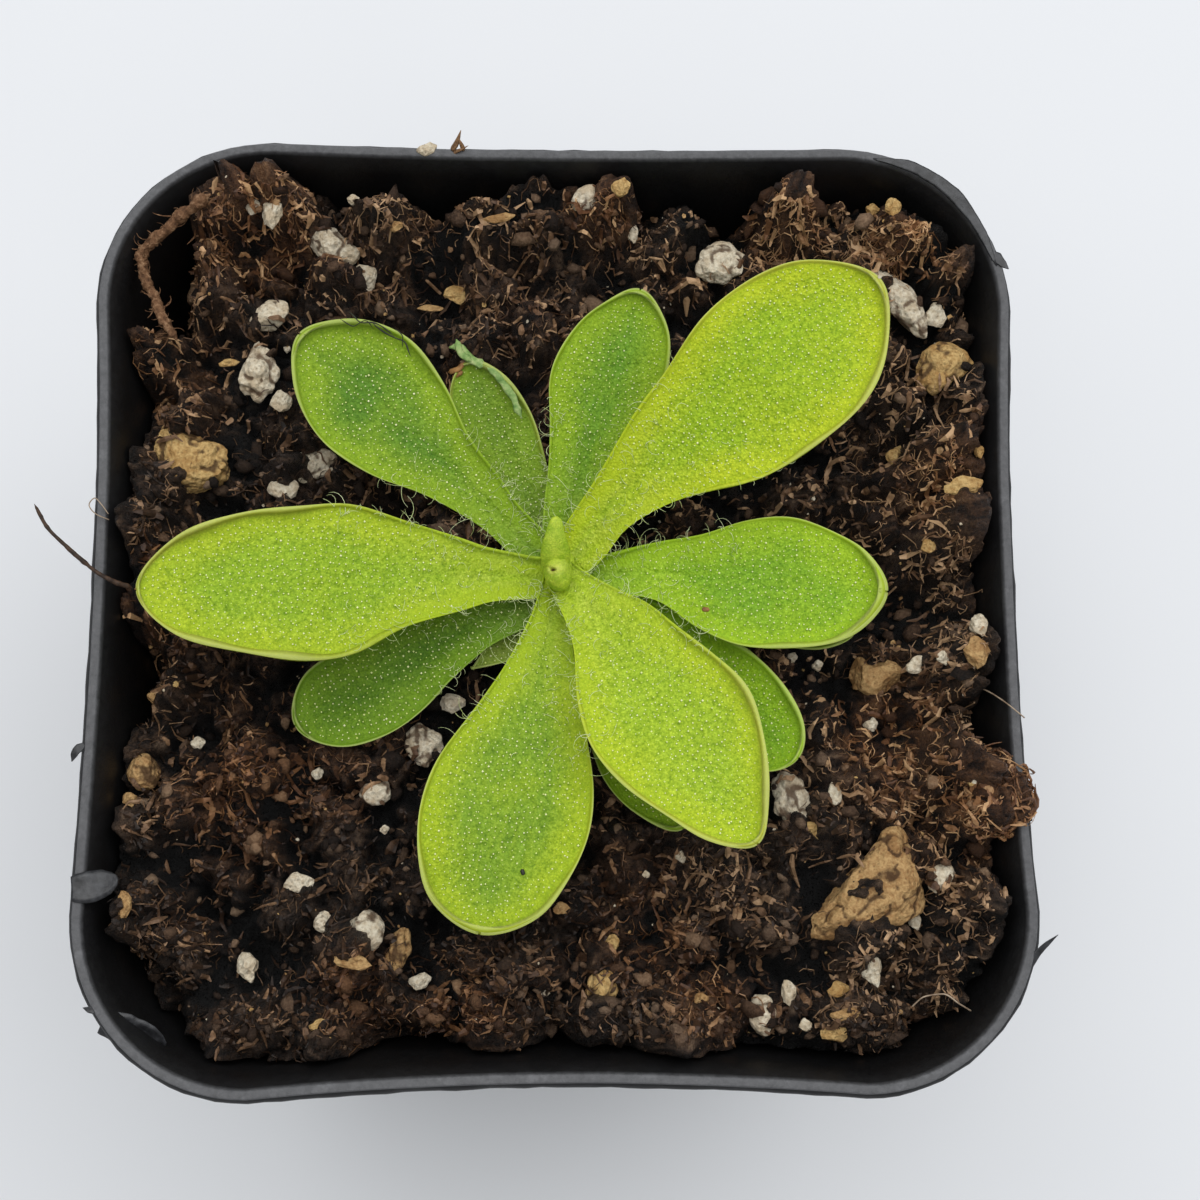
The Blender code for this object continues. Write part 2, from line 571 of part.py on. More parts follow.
def make_soil(obstacles):
    """Peat that fills the pot, with clumps, hollows and a plain hole for the stem."""
    count = SOIL_STEPS + 1
    points = []
    for i in range(count):
        for j in range(count):
            x, y = soil_plan(i, j, RIM_Z + SOIL_TOP)
            limit = keep_below(x, y, obstacles, 2.7) - LEAF_CLEARANCE
            z = min(RIM_Z + soil_height(x, y), limit)
            if i in (0, SOIL_STEPS) or j in (0, SOIL_STEPS):
                x, y = soil_plan(i, j, z)
            points.append((x, y, z))
    faces = []
    for i in range(SOIL_STEPS):
        for j in range(SOIL_STEPS):
            a = i * count + j
            if (i + j) % 2:
                faces.append((a, a + count, a + count + 1))
                faces.append((a, a + count + 1, a + 1))
            else:
                faces.append((a, a + count, a + 1))
                faces.append((a + 1, a + count, a + count + 1))
    border = [(i, 0) for i in range(SOIL_STEPS)]
    border += [(SOIL_STEPS, j) for j in range(SOIL_STEPS)]
    border += [(i, SOIL_STEPS) for i in range(SOIL_STEPS, 0, -1)]
    border += [(0, j) for j in range(SOIL_STEPS, 0, -1)]
    foot = len(points)
    for i, j in border:
        x, y = soil_plan(i, j, SOIL_FOOT)
        points.append((x, y, SOIL_FOOT))
    for index, (i, j) in enumerate(border):
        following = (index + 1) % len(border)
        k, m = border[following]
        faces.append((i * count + j, k * count + m, foot + following, foot + index))
    faces.append(tuple(foot + index for index in range(len(border))))
    soil = add_mesh("soil", points, faces, (0.055, 0.030, 0.018), 0.9)
    fix_normals(soil)
    cut(soil, add_stem_hole())
    return soil


def add_stem_hole():
    """Plain round hole for the stem."""
    rings = []
    for z in (RIM_Z + STEM_FOOT - 0.5, RIM_Z - 1.0):
        ring = []
        for step in range(12):
            angle = 2.0 * math.pi * step / 12
            radius = STEM_RADIUS + 0.4
            ring.append((CROWN_X + radius * math.cos(angle), CROWN_Y + radius * math.sin(angle), z))
        rings.append(ring)
    points, faces = lathe_rings(rings)
    return add_mesh("stem_hole", points, faces)


def grain_points(spec, grow):
    """Points and faces of one lumpy grain."""
    x, y, height, rx, ry, rz, turn, tilt, seed, _ = spec
    work = bmesh.new()
    bmesh.ops.create_icosphere(work, subdivisions=2, radius=1.0)
    spin = Matrix.Rotation(math.radians(turn), 3, "Z") @ Matrix.Rotation(math.radians(tilt), 3, "X")
    points = []
    for vertex in work.verts:
        p = vertex.co
        lump = 1.0 + 0.16 * noise.noise(p * 1.3 + Vector((seed, 0.0, 0.0)))
        lump += 0.05 * noise.noise(p * 3.4 + Vector((0.0, seed, 0.0)))
        scaled = Vector((p.x * (rx + grow), p.y * (ry + grow), p.z * (rz + grow))) * lump
        placed = spin @ scaled
        points.append((x + placed.x, y + placed.y, RIM_Z + height + placed.z))
    faces = [tuple(v.index for v in face.verts) for face in work.faces]
    work.free()
    return points, faces


def make_grains(soil):
    """Large grains, each lying in its own hollow of the soil."""
    for name, spec in GRAINS.items():
        points, faces = grain_points(spec, 0.0)
        add_mesh(name, points, faces, spec[-1], 0.85)
        points, faces = grain_points(spec, 0.45)
        cut(soil, add_mesh(name + "_hollow", points, faces))


def tube(path, radius, sides):
    """Closed tube with rounded ends along a path."""
    path = [Vector(p) for p in path]
    rings = []
    for index, centre in enumerate(path):
        before = path[max(index - 1, 0)]
        after = path[min(index + 1, len(path) - 1)]
        direction = (after - before).normalized()
        aside = direction.cross(Vector((0.0, 0.0, 1.0))).normalized()
        upward = aside.cross(direction)
        size = radius * (0.8 if index in (0, len(path) - 1) else 1.0)
        ring = []
        for step in range(sides):
            angle = 2.0 * math.pi * step / sides
            ring.append(tuple(centre + aside * (size * math.cos(angle)) + upward * (size * math.sin(angle))))
        rings.append(ring)
    return lathe_rings(rings)


def smooth_path(points, steps):
    """Points of a smooth curve through the given ones."""
    lengths = [0.0]
    for start, end in zip(points, points[1:]):
        lengths.append(lengths[-1] + (Vector(end) - Vector(start)).length)
    at = np.linspace(0.0, lengths[-1], steps)
    columns = [interpolate(lengths, [p[axis] for p in points], at) for axis in range(3)]
    return [(float(a), float(b), float(c) + RIM_Z) for a, b, c in zip(*columns)]


def make_twigs():
    """Bent root at the far left and the twig that hangs over the left rim."""
    for name, (radius, points, color) in TWIGS.items():
        path = smooth_path(points, 12)
        ring_points, faces = tube(path, radius, 8)
        part = add_mesh(name, ring_points, faces, color, 0.75)
        fix_normals(part)


def twig_obstacles():
    """Undersides of the twigs as points to keep the soil clear of."""
    found = []
    for radius, points, _ in TWIGS.values():
        for x, y, z in smooth_path(points, 24):
            found.append((x, y, z - radius))
    return np.array(found)


def build():
    """Make every sub-part."""
    clear_scene()
    make_pot()
    make_crown()
    undersides = []
    for name, leaf in LEAVES.items():
        make_leaf(name, leaf)
        fine = lower_grid(leaf_grid(leaf, 24, COLUMNS))
        undersides.append(fine.reshape(-1, 3))
    make_twigs()
    undersides.append(twig_obstacles())
    soil = make_soil(np.concatenate(undersides))
    make_grains(soil)


build()
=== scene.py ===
"""Looks of a young butterwort rosette in a square nursery pot.

Tables are in millimetres in the part's own frame and become metres when meshes
are made: +X is the right side, +Y the far side, +Z up, and the origin is the
middle of the pot's underside.
"""

import math
import bmesh
import bpy
import numpy as np
from mathutils import Euler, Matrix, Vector, noise


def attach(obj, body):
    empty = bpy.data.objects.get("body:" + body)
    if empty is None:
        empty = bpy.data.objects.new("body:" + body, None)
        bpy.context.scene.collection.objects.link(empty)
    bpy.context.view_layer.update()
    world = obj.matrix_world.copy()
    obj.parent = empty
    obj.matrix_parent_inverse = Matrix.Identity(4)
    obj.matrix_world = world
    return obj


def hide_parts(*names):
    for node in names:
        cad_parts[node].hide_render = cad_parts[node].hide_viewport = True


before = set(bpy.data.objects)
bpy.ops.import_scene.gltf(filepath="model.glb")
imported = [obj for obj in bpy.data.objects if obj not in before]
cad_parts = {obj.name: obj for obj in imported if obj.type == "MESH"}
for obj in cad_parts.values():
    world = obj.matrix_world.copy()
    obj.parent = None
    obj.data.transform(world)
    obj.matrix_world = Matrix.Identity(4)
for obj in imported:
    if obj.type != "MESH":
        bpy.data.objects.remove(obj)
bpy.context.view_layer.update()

MM = 0.001

# Camera: place, turn in degrees, and the angle of view as half the picture over the focal length
CAMERA_PLACE = (-2.1, -23.5, 210.2)
CAMERA_TURN = (9.64, -2.20, -0.26)
HALF_PICTURE = 600.0
FOCAL_LENGTH = 1735.0

# Light: colour and strength of the sky, and lamps with place, target, size, power and colour in metres
SKY_COLOR = (0.94, 0.97, 1.0, 1.0)
SKY_STRENGTH = 0.41
LAMPS = (
    ("far_window", (0.12, 0.40, 0.92), (0.0, 0.0, 0.03), (1.40, 0.90), 8.5, (0.98, 0.99, 1.0)),
    ("top_soft", (-0.10, -0.10, 0.75), (0.0, 0.0, 0.05), (0.40, 0.40), 1.0, (1.0, 0.99, 0.97)),
)

# Pot: outline, taper, lip, wall, floor, inward bow of the sides and drain holes
RIM_Z = 72.0
POT_HALF_X = 38.0
POT_HALF_Y = 39.0
CORNER_RADIUS = 14.0
CORNER_RADIUS_FOOT = 10.5
TAPER = math.tan(math.radians(5.0))
LIP = 0.5
WALL = 1.05
INNER = WALL + LIP
FLOOR = 1.8
BOW_LEFT, BOW_RIGHT, BOW_FAR, BOW_NEAR = 0.65, 0.8, 0.4, 1.0
DRAIN_RADIUS = 3.0
DRAIN_PLACE = 19.0
DRILL_DEPTH = 8.0
SHARP_DEGREES = 40.0

# Section of the pot: inset from the outline, height, and how much of the greyer rim colour the plastic takes,
# scuffs plus a painted sheen of sky light, most on the rim's top
POT_PROFILE = (
    (LIP + 1.0, 0.0, 0.0), (LIP + 0.3, 0.3, 0.0), (LIP, 1.0, 0.0), (LIP, 20.0, 0.0),
    (LIP, 40.0, 0.0), (LIP, 60.0, 0.0), (LIP, 69.4, 0.05), (0.2, 69.9, 0.1),
    (-0.30, 70.2, 0.2), (-0.36, 70.6, 0.25), (-0.36, 71.1, 0.3), (-0.28, 71.3, 0.35),
    (-0.10, 71.42, 0.15), (0.02, 71.5, 0.15), (0.06, 71.7, 0.6), (0.10, 71.9, 0.9),
    (0.20, RIM_Z, 1.0), (0.72, RIM_Z, 1.0), (0.86, 71.9, 0.6),
    (0.98, 71.6, 0.1), (INNER, 70.0, 0.0), (INNER, 60.0, 0.0), (INNER, 40.0, 0.0),
    (INNER, 20.0, 0.0), (INNER, FLOOR + 0.4, 0.0), (INNER + 0.3, FLOOR, 0.0),
)

# Rings of the section with ragged flash, rings with an uneven top, and where the wall starts to sway
FLASH_RINGS = range(8, 13)
UNEVEN_RINGS = range(14, 19)
SWAY_FROM = 55.0

# Width profiles of trimming strips and film as share of length and share of width
SLIVER = ((0.0, 0.5), (0.25, 1.0), (0.7, 0.75), (1.0, 0.05))
BLADE_SHAPE = ((0.0, 0.1), (0.2, 0.8), (0.55, 1.0), (0.85, 0.6), (1.0, 0.08))
FLAP = ((0.0, 0.75), (0.3, 1.0), (0.75, 0.85), (0.92, 0.5), (1.0, 0.15))

# Trimming strips and loose film on the rim: route, width, lean in degrees and width profile
RIM_SCRAPS = (
    (((26.6, 38.1, 0.0), (29.6, 37.3, 0.45), (32.9, 35.2, 0.55), (35.3, 32.2, 0.35),
      (36.9, 28.6, 0.1)), 1.05, 12.0, BLADE_SHAPE),
    (((36.6, 29.8, -0.1), (37.3, 28.9, 0.15), (37.9, 28.3, 0.1)), 0.9, 5.0, SLIVER),
    (((36.3, -30.9, -0.9), (37.2, -29.2, -0.6), (38.1, -27.9, -0.1), (39.3, -26.8, 0.5)),
     0.8, 25.0, SLIVER),
    (((-37.9, -22.9, 0.1), (-36.8, -22.8, 0.05), (-35.5, -22.4, -0.4), (-34.6, -22.0, -0.9)),
     2.5, 4.0, FLAP),
    (((-35.5, -33.0, -1.6), (-34.2, -33.6, -1.9), (-32.6, -34.3, -2.4), (-30.8, -35.0, -3.0)),
     3.0, 24.0, FLAP),
    (((-37.5, -11.6, -0.4), (-38.1, -12.2, -0.2), (-38.4, -13.0, -0.2)), 0.7, 10.0, SLIVER),
    (((-35.3, -31.9, -0.3), (-35.9, -32.1, -0.1), (-36.6, -31.9, 0.1)), 0.6, 10.0, SLIVER),
)

# Grid and half thickness of a strip
SCRAP_ROWS, SCRAP_COLUMNS = 26, 7
SCRAP_HALF = 0.05

# Cream chip on the far rim: place, half sizes and turn in degrees
CHIP_PLACE = (-11.1, 38.45, 72.1)
CHIP_SIZE = (0.85, 0.55, 0.36)
CHIP_TURN = 12.0

# Brown shreds on the far rim: routes, widths and the width's change along a shred
RIM_SHREDS = (
    ((-9.0, 38.4, 0.0), (-8.6, 38.8, 0.5), (-8.2, 39.6, 1.3)),
    ((-8.0, 38.4, 0.0), (-8.2, 38.7, 0.5), (-8.5, 39.2, 0.9)),
    ((-8.9, 38.2, -0.1), (-8.3, 38.3, 0.3), (-7.6, 38.6, 0.5)),
)
SHRED_WIDTHS = (0.26, 0.20, 0.16)
SHRED_PROFILE = (0.75, 0.95, 1.0, 1.0, 0.95, 0.85, 0.75, 0.62, 0.5, 0.36, 0.24, 0.1)

# Soil: gap to the wall, surface below the rim, foot, grid steps and how far the calm middle reaches
GAP = 0.38
SOIL_TOP = -8.2
SOIL_FOOT = 2.15
SOIL_STEPS = 280
CALM_START = 10.0
CALM_RADIUS = 27.0

# Crumbs heaped against the wall: width, height and highest level below the rim
BANK_WIDTH = 7.0
BANK_HEIGHT = 4.6
BANK_TOP = -0.6

# Reddish fibrous patches of the soil: x, y and radius
WARM_SPOTS = (
    (34.0, -15.6, 6.0), (-26.0, 33.5, 6.0), (7.4, -26.6, 4.2), (-25.6, -14.6, 6.0), (19.6, 35.0, 5.0),
    (30.0, 32.0, 4.0), (-35.0, 21.0, 4.0), (28.0, -10.0, 5.0), (4.0, 34.0, 3.0), (33.0, 10.0, 4.0),
    (-8.0, -32.0, 4.0), (-33.0, 1.5, 4.0), (12.0, -31.0, 3.0), (-17.0, -31.0, 3.0), (-12.0, 20.0, 3.0),
)

# Clumps of the soil: x, y, radius along x, radius along y and height
CLUMPS = (
    (-26.2, 34.6, 4.6, 3.2, 8.0), (19.0, 35.4, 3.2, 2.6, 7.6), (31.0, 33.0, 3.6, 3.4, 7.0),
    (33.6, -15.8, 3.6, 4.6, 8.6), (32.6, -27.0, 3.0, 6.0, 5.2), (-25.6, -14.6, 5.6, 4.4, 3.6),
    (0.2, 34.6, 4.4, 3.0, 5.4), (24.0, 33.6, 4.0, 3.2, 5.6), (24.6, 14.4, 3.0, 2.4, 2.0),
    (-34.6, 21.8, 2.2, 3.0, 5.4), (-33.4, 3.0, 3.2, 4.4, 5.6), (-32.6, -26.0, 3.2, 3.6, 3.0),
    (-20.6, -33.0, 4.6, 2.8, 3.4), (7.4, -33.6, 4.2, 2.8, 3.2), (22.6, -33.0, 4.4, 2.8, 4.0),
    (34.6, 10.0, 2.6, 6.6, 4.8), (33.0, 29.0, 3.6, 3.6, 5.4), (-7.0, 33.0, 3.4, 3.0, 3.2),
    (11.4, 34.6, 3.0, 2.6, 3.4), (-14.6, 31.6, 3.0, 3.0, 2.6), (32.6, -2.6, 3.4, 4.0, 4.0),
    (-29.0, -4.0, 3.6, 3.2, 1.6), (-31.0, 30.5, 2.4, 2.4, 3.4), (12.0, -25.0, 3.6, 4.4, 2.0),
    (-6.0, -31.0, 4.4, 3.4, 2.0), (-29.6, -31.5, 2.8, 2.4, 1.6), (27.0, 23.0, 3.2, 3.2, 2.0),
    (-24.0, 8.0, 3.0, 2.4, 1.6), (-12.0, 24.0, 3.4, 3.0, 1.8), (6.0, 26.0, 4.0, 3.0, 1.6),
)

# Hollows of the soil: x, y, radius along x, radius along y and depth
HOLLOWS = (
    (-33.8, 29.0, 2.6, 4.6, 8.5), (-34.8, 15.0, 2.4, 3.6, 8.5), (-8.2, 37.6, 4.2, 2.2, 6.5),
    (14.8, 36.8, 2.2, 2.4, 6.0), (-34.4, -32.0, 3.6, 4.6, 6.5), (-13.0, -35.6, 3.6, 2.0, 5.0),
    (1.6, -35.8, 2.6, 2.6, 5.0), (-18.0, 37.4, 4.0, 2.2, 6.0), (-34.6, -6.0, 2.0, 3.2, 4.0),
    (33.0, -35.0, 5.0, 3.0, 4.0), (14.0, 2.0, 7.0, 5.0, 1.4), (-8.0, 12.0, 5.0, 5.0, 1.2),
    (-3.0, -6.0, 5.0, 5.0, 1.4), (10.0, 16.0, 5.0, 4.0, 1.0), (18.6, 8.8, 4.0, 2.4, 1.2),
)

# Fibrous clump over the right rim: middle, half sizes and number of fibres
CLUMP_PLACE = (35.3, -15.7, 71.2)
CLUMP_SIZE = (2.9, 3.2, 1.6)
CLUMP_FIBRES = 420

# Number of places tried for the crumbs of peat
CRUMB_COUNT = 2100

# Shreds and fibres: number tried, steps of a path, lengths (middle, most), bend in degrees, arch,
# liking for brown and for reddish soil, radius (least, most), sides, flatness and surface roughness
FIBRES = {
    "peat_shreds": {
        "seed": 113, "count": 10300, "steps": 4, "length": (1.15, 3.0), "bend": (5.0, 60.0),
        "arch": (0.05, 0.40), "liking": (0.9, 0.75), "radius": (0.11, 0.32), "sides": 4, "flat": 0.38,
        "roughness": 0.6},
    "fibres_dark": {
        "seed": 119, "count": 9400, "steps": 5, "length": (1.0, 2.4), "bend": (20.0, 150.0),
        "arch": (0.03, 0.30), "liking": (0.9, 0.5), "radius": (0.03, 0.075), "sides": 3, "flat": 1.0,
        "roughness": 0.5},
    "fibres_red": {
        "seed": 127, "count": 14000, "steps": 5, "length": (1.1, 2.8), "bend": (30.0, 210.0),
        "arch": (0.05, 0.45), "liking": (0.3, 1.0), "radius": (0.03, 0.075), "sides": 3, "flat": 1.0,
        "roughness": 0.5},
}

# Width along a fibre, by the number of its steps
FIBRE_PROFILES = {4: (0.55, 1.0, 0.85, 0.25), 5: (0.7, 1.0, 1.0, 0.8, 0.35)}

# Fibre colours in brown and in reddish soil: position and colour
DARK_FIBRE = ((0.18, (0.008, 0.004, 0.002)), (0.42, (0.052, 0.027, 0.014)), (0.64, (0.18, 0.100, 0.052)),
              (0.90, (0.46, 0.29, 0.16)))
WARM_FIBRE = ((0.18, (0.028, 0.010, 0.004)), (0.42, (0.13, 0.052, 0.019)), (0.64, (0.31, 0.148, 0.060)),
              (0.90, (0.58, 0.35, 0.17)))

# Large grains: centre x, y, height below the rim, half sizes, turn, seed and kind
GRAINS = {
    "grain_gold_left": (-30.8, 12.8, -5.4, 3.6, 2.5, 1.9, -14.0, 3, "gold"),
    "grain_tan_big": (24.9, -23.6, -4.6, 5.4, 3.1, 2.3, 38.0, 5, "tan"),
    "grain_gold_right": (32.5, 20.2, -2.9, 2.7, 1.9, 1.7, 38.0, 7, "gold"),
    "perlite_left": (-25.4, 20.4, -5.6, 1.6, 2.7, 1.3, -6.0, 11, "pale"),
    "perlite_far_left": (-19.2, 31.6, -5.0, 2.6, 1.4, 1.3, -38.0, 13, "pale"),
    "perlite_upper_left": (-24.9, 25.6, -5.8, 2.0, 1.2, 1.1, 28.0, 17, "pale"),
    "perlite_flat": (-21.2, 12.6, -6.6, 2.4, 1.4, 0.9, 6.0, 19, "pale"),
    "perlite_far": (14.1, 30.6, -5.4, 2.0, 1.7, 1.3, 12.0, 23, "pale"),
    "perlite_under_k": (19.4, -15.8, -7.3, 1.5, 2.3, 1.2, 12.0, 29, "pale"),
    "perlite_behind_a": (29.4, 26.8, -4.0, 3.7, 1.3, 1.2, -52.0, 31, "pale"),
    "pumice_mid": (-11.2, -11.2, -7.6, 1.5, 1.8, 0.9, 10.0, 37, "pale"),
    "grain_cream_far": (2.7, 35.0, -2.0, 1.7, 1.2, 1.1, 10.0, 41, "pale"),
    "grain_brown_left": (-33.6, -13.6, -4.6, 1.3, 1.5, 1.3, 0.0, 43, "tan"),
    "perlite_near_left": (-15.6, -26.2, -6.0, 1.4, 1.5, 1.2, 20.0, 47, "pale"),
    "bark_near_left": (-12.9, -27.8, -6.2, 0.9, 1.9, 0.9, -8.0, 53, "tan"),
    "grain_cream_mid": (-15.1, -15.0, -7.2, 1.3, 1.2, 0.9, 15.0, 59, "pale"),
    "grain_olive_near": (3.4, -31.4, -6.2, 1.2, 1.8, 1.0, -16.0, 61, "gold"),
    "pumice_near": (16.6, -33.2, -5.8, 1.0, 1.7, 0.9, 8.0, 67, "pale"),
    "grain_cream_right": (31.0, -22.2, -3.2, 1.0, 1.4, 0.9, -20.0, 71, "pale"),
}

# Bend and taper of the grains that are not plain lumps
GRAIN_BENDS = {
    "grain_tan_big": (-0.9, -0.28), "grain_gold_left": (-0.45, 0.34), "grain_gold_right": (0.3, -0.25),
    "perlite_behind_a": (0.2, 0.2), "perlite_left": (0.3, 0.15)}

# Slots of the kinds, and their light, middle and stained colours
GRAIN_KINDS = ("pale", "gold", "tan")
GRAIN_COLORS = {
    "pale": ((0.78, 0.70, 0.54), (0.52, 0.41, 0.27), (0.075, 0.036, 0.016)),
    "gold": ((0.62, 0.42, 0.17), (0.36, 0.195, 0.06), (0.050, 0.022, 0.008)),
    "tan": ((0.55, 0.35, 0.15), (0.30, 0.155, 0.055), (0.045, 0.019, 0.007)),
}

# Small grains and flakes on the soil: kind, x, y and half sizes
SMALL_GRAINS = (
    ("pale", -24.1, 33.3, 0.9, 1.4), ("pale", -25.7, 33.7, 0.6, 0.7), ("pale", -16.7, 29.0, 1.3, 1.2),
    ("pale", -23.2, 17.5, 0.9, 0.9), ("pale", -23.2, 10.5, 1.3, 1.1), ("gold", -28.4, 21.8, 0.9, 0.4),
    ("gold", -8.8, 28.4, 1.2, 0.8), ("pale", -17.2, 33.9, 0.5, 0.5), ("pale", -17.0, 35.4, 0.5, 0.4),
    ("gold", 5.2, 35.0, 0.8, 0.8), ("gold", 7.0, 36.2, 0.6, 0.6), ("pale", 11.4, 36.2, 0.7, 0.5),
    ("pale", 6.5, 33.3, 0.5, 0.9), ("pale", 32.5, 25.6, 0.9, 1.3), ("gold", 28.5, 34.0, 0.7, 0.9),
    ("gold", 27.2, 34.8, 0.6, 0.6), ("gold", 35.0, 12.8, 0.4, 0.6), ("gold", 29.2, 13.7, 0.9, 0.9),
    ("gold", 33.2, 9.2, 1.7, 0.9), ("gold", 30.7, 4.9, 0.6, 0.6), ("pale", 34.1, -2.1, 0.7, 0.9),
    ("pale", 30.0, -4.8, 1.2, 0.9), ("pale", 31.6, -4.5, 0.6, 0.6), ("tan", 33.8, -4.4, 1.1, 1.4),
    ("tan", 27.2, -4.9, 2.1, 1.9), ("pale", 20.0, -3.6, 0.5, 0.5), ("pale", 22.4, -4.2, 0.5, 0.5),
    ("pale", 22.8, -15.4, 0.6, 0.9), ("pale", 26.7, -9.3, 0.6, 0.6), ("gold", 21.0, -18.4, 1.3, 0.9),
    ("tan", -34.6, -15.8, 0.6, 0.6), ("pale", -29.7, -11.1, 0.6, 0.6), ("pale", -8.9, -7.4, 1.1, 0.8),
    ("pale", -19.9, -13.5, 0.5, 0.5), ("pale", -14.4, -18.1, 0.4, 0.4), ("pale", -21.2, -22.4, 1.2, 0.8),
    ("pale", -19.1, -25.7, 0.8, 0.9), ("tan", -16.5, -28.6, 1.5, 0.8), ("pale", -25.5, -29.3, 0.9, 1.2),
    ("gold", -19.0, -33.8, 0.9, 0.6), ("tan", -34.0, -24.1, 0.6, 1.1), ("pale", -11.3, -30.4, 0.9, 0.7),
    ("pale", 10.3, -20.4, 0.6, 0.6), ("pale", 7.2, -21.9, 0.3, 0.3), ("gold", 4.5, -27.4, 0.6, 0.6),
    ("pale", -1.2, -31.3, 0.5, 0.4), ("pale", 25.4, -29.6, 0.9, 1.4), ("gold", 22.7, -31.4, 0.9, 0.9),
    ("pale", 18.8, -31.4, 0.6, 1.0), ("tan", 22.8, -32.9, 1.3, 0.5), ("gold", 22.3, -34.2, 1.4, 1.0),
    ("pale", 19.9, -33.9, 0.5, 0.5), ("pale", 29.4, -25.8, 0.5, 0.7), ("tan", 0.2, -24.6, 0.7, 0.6),
    ("tan", 11.6, -32.0, 0.6, 0.6), ("tan", -33.0, -7.4, 0.7, 0.6), ("tan", -13.8, 32.0, 0.7, 0.5),
    ("tan", -5.0, 32.8, 1.3, 0.4), ("tan", 18.6, 25.2, 1.3, 0.4), ("tan", -11.1, 27.5, 1.1, 0.3),
)

# Number of fine scattered bits and the chances of their kinds
SCATTERED_BITS = 420
BIT_CHANCES = (0.34, 0.30, 0.36)

# Root and twig: radius and points x, y, height below the rim
TWIGS = {
    "root_bent": (0.46, (
        (-29.0, 34.0, 0.6), (-32.0, 32.0, -0.6), (-35.0, 28.9, -1.6), (-34.3, 26.7, -2.2),
        (-33.1, 24.4, -2.1), (-32.0, 22.2, -2.3))),
    "twig_left": (0.17, (
        (-34.2, 0.9, 0.0), (-35.3, 1.2, 0.6), (-36.4, 1.7, 1.1), (-37.6, 2.6, 1.5),
        (-39.2, 4.0, 1.7), (-40.6, 5.4, 1.9), (-41.6, 7.2, 2.3))),
}

# Least radius of rough bark, number of rootlets and width along a rootlet
THICK_ROOT = 0.3
ROOTLETS = 70
ROOTLET_PROFILE = (1.0, 1.0, 0.9, 0.8, 0.6, 0.4)

# Fine strands: radius and points
FINE_STRANDS = (
    (0.07, ((28.1, -32.4, -2.2), (29.0, -31.6, -1.6), (30.4, -31.4, -1.4), (31.8, -32.2, -1.8),
            (32.9, -32.8, -2.6))),
    (0.06, ((34.4, -6.8, -2.2), (35.2, -7.6, -0.6), (36.2, -8.6, 0.4), (37.3, -9.7, 0.9))),
    (0.05, ((-36.2, 6.4, 0.2), (-37.2, 6.8, 0.7), (-37.7, 7.5, 0.8), (-37.3, 8.1, 0.6),
            (-36.8, 7.6, 0.4), (-36.3, 6.9, 0.1))),
)

# Crown: axis, pit and middle of the bud, and its half sizes
CROWN_X, CROWN_Y = 0.0, 3.8
PIT_X, PIT_Y = -0.42, 0.05
BUD_PLACE = (CROWN_X - 0.06, CROWN_Y - 1.28, RIM_Z - 2.0)
BUD_SIZE = (1.16, 1.46, 1.4)

# Stem: sides, and rings as radius and height below the rim
STEM_RADIUS = 1.1
STEM_SIDES = 32
STEM_RINGS = ((0.6, -13.9), (STEM_RADIUS, -12.0), (STEM_RADIUS, -8.0), (1.4, -5.0), (1.5, -3.8), (0.9, -3.0))

# Youngest leaf, upright behind the bud: places from the crown's axis and half widths
TONGUE = (
    ((-0.22, -0.9, -2.6), 1.05), ((-0.26, 0.1, -1.3), 1.24), ((-0.30, 1.0, -0.5), 1.04),
    ((-0.30, 1.6, -0.1), 0.84), ((-0.28, 2.1, 0.15), 0.68), ((-0.25, 2.5, 0.32), 0.55),
    ((-0.23, 2.8, 0.40), 0.40), ((-0.22, 2.98, 0.44), 0.10))
TONGUE_STEPS = 30
TONGUE_SIDES = 26
TONGUE_FLAT = 0.42

# Blade thickness, grid of a leaf, points and softness of its outline, and zone and turn of its margin
BLADE = 0.66
LEAF_ROWS = 66
LEAF_COLUMNS = 40
OUTLINE_POINTS = 340
OUTLINE_SOFTNESS = 0.55
MARGIN_ZONE = 1.25
MARGIN_COLUMNS = 9
ROLL_TURN = 168.0

# Light in soft green tissue: weight and reach of red, green and blue
FLESH_WEIGHT = 0.12
FLESH_RADIUS = (0.6, 0.9, 0.15)

# Glands and hairs: pitch of the glands, hairs on a leaf, leaves with half of them, width along a hair
GLAND_PITCH = 0.50
HAIRS_PER_LEAF = 130
HIDDEN_LEAVES = ("leaf_g", "leaf_m", "leaf_j", "leaf_k")
HAIR_PROFILE = (1.0, 1.0, 0.95, 0.9, 0.8, 0.7, 0.6, 0.4)

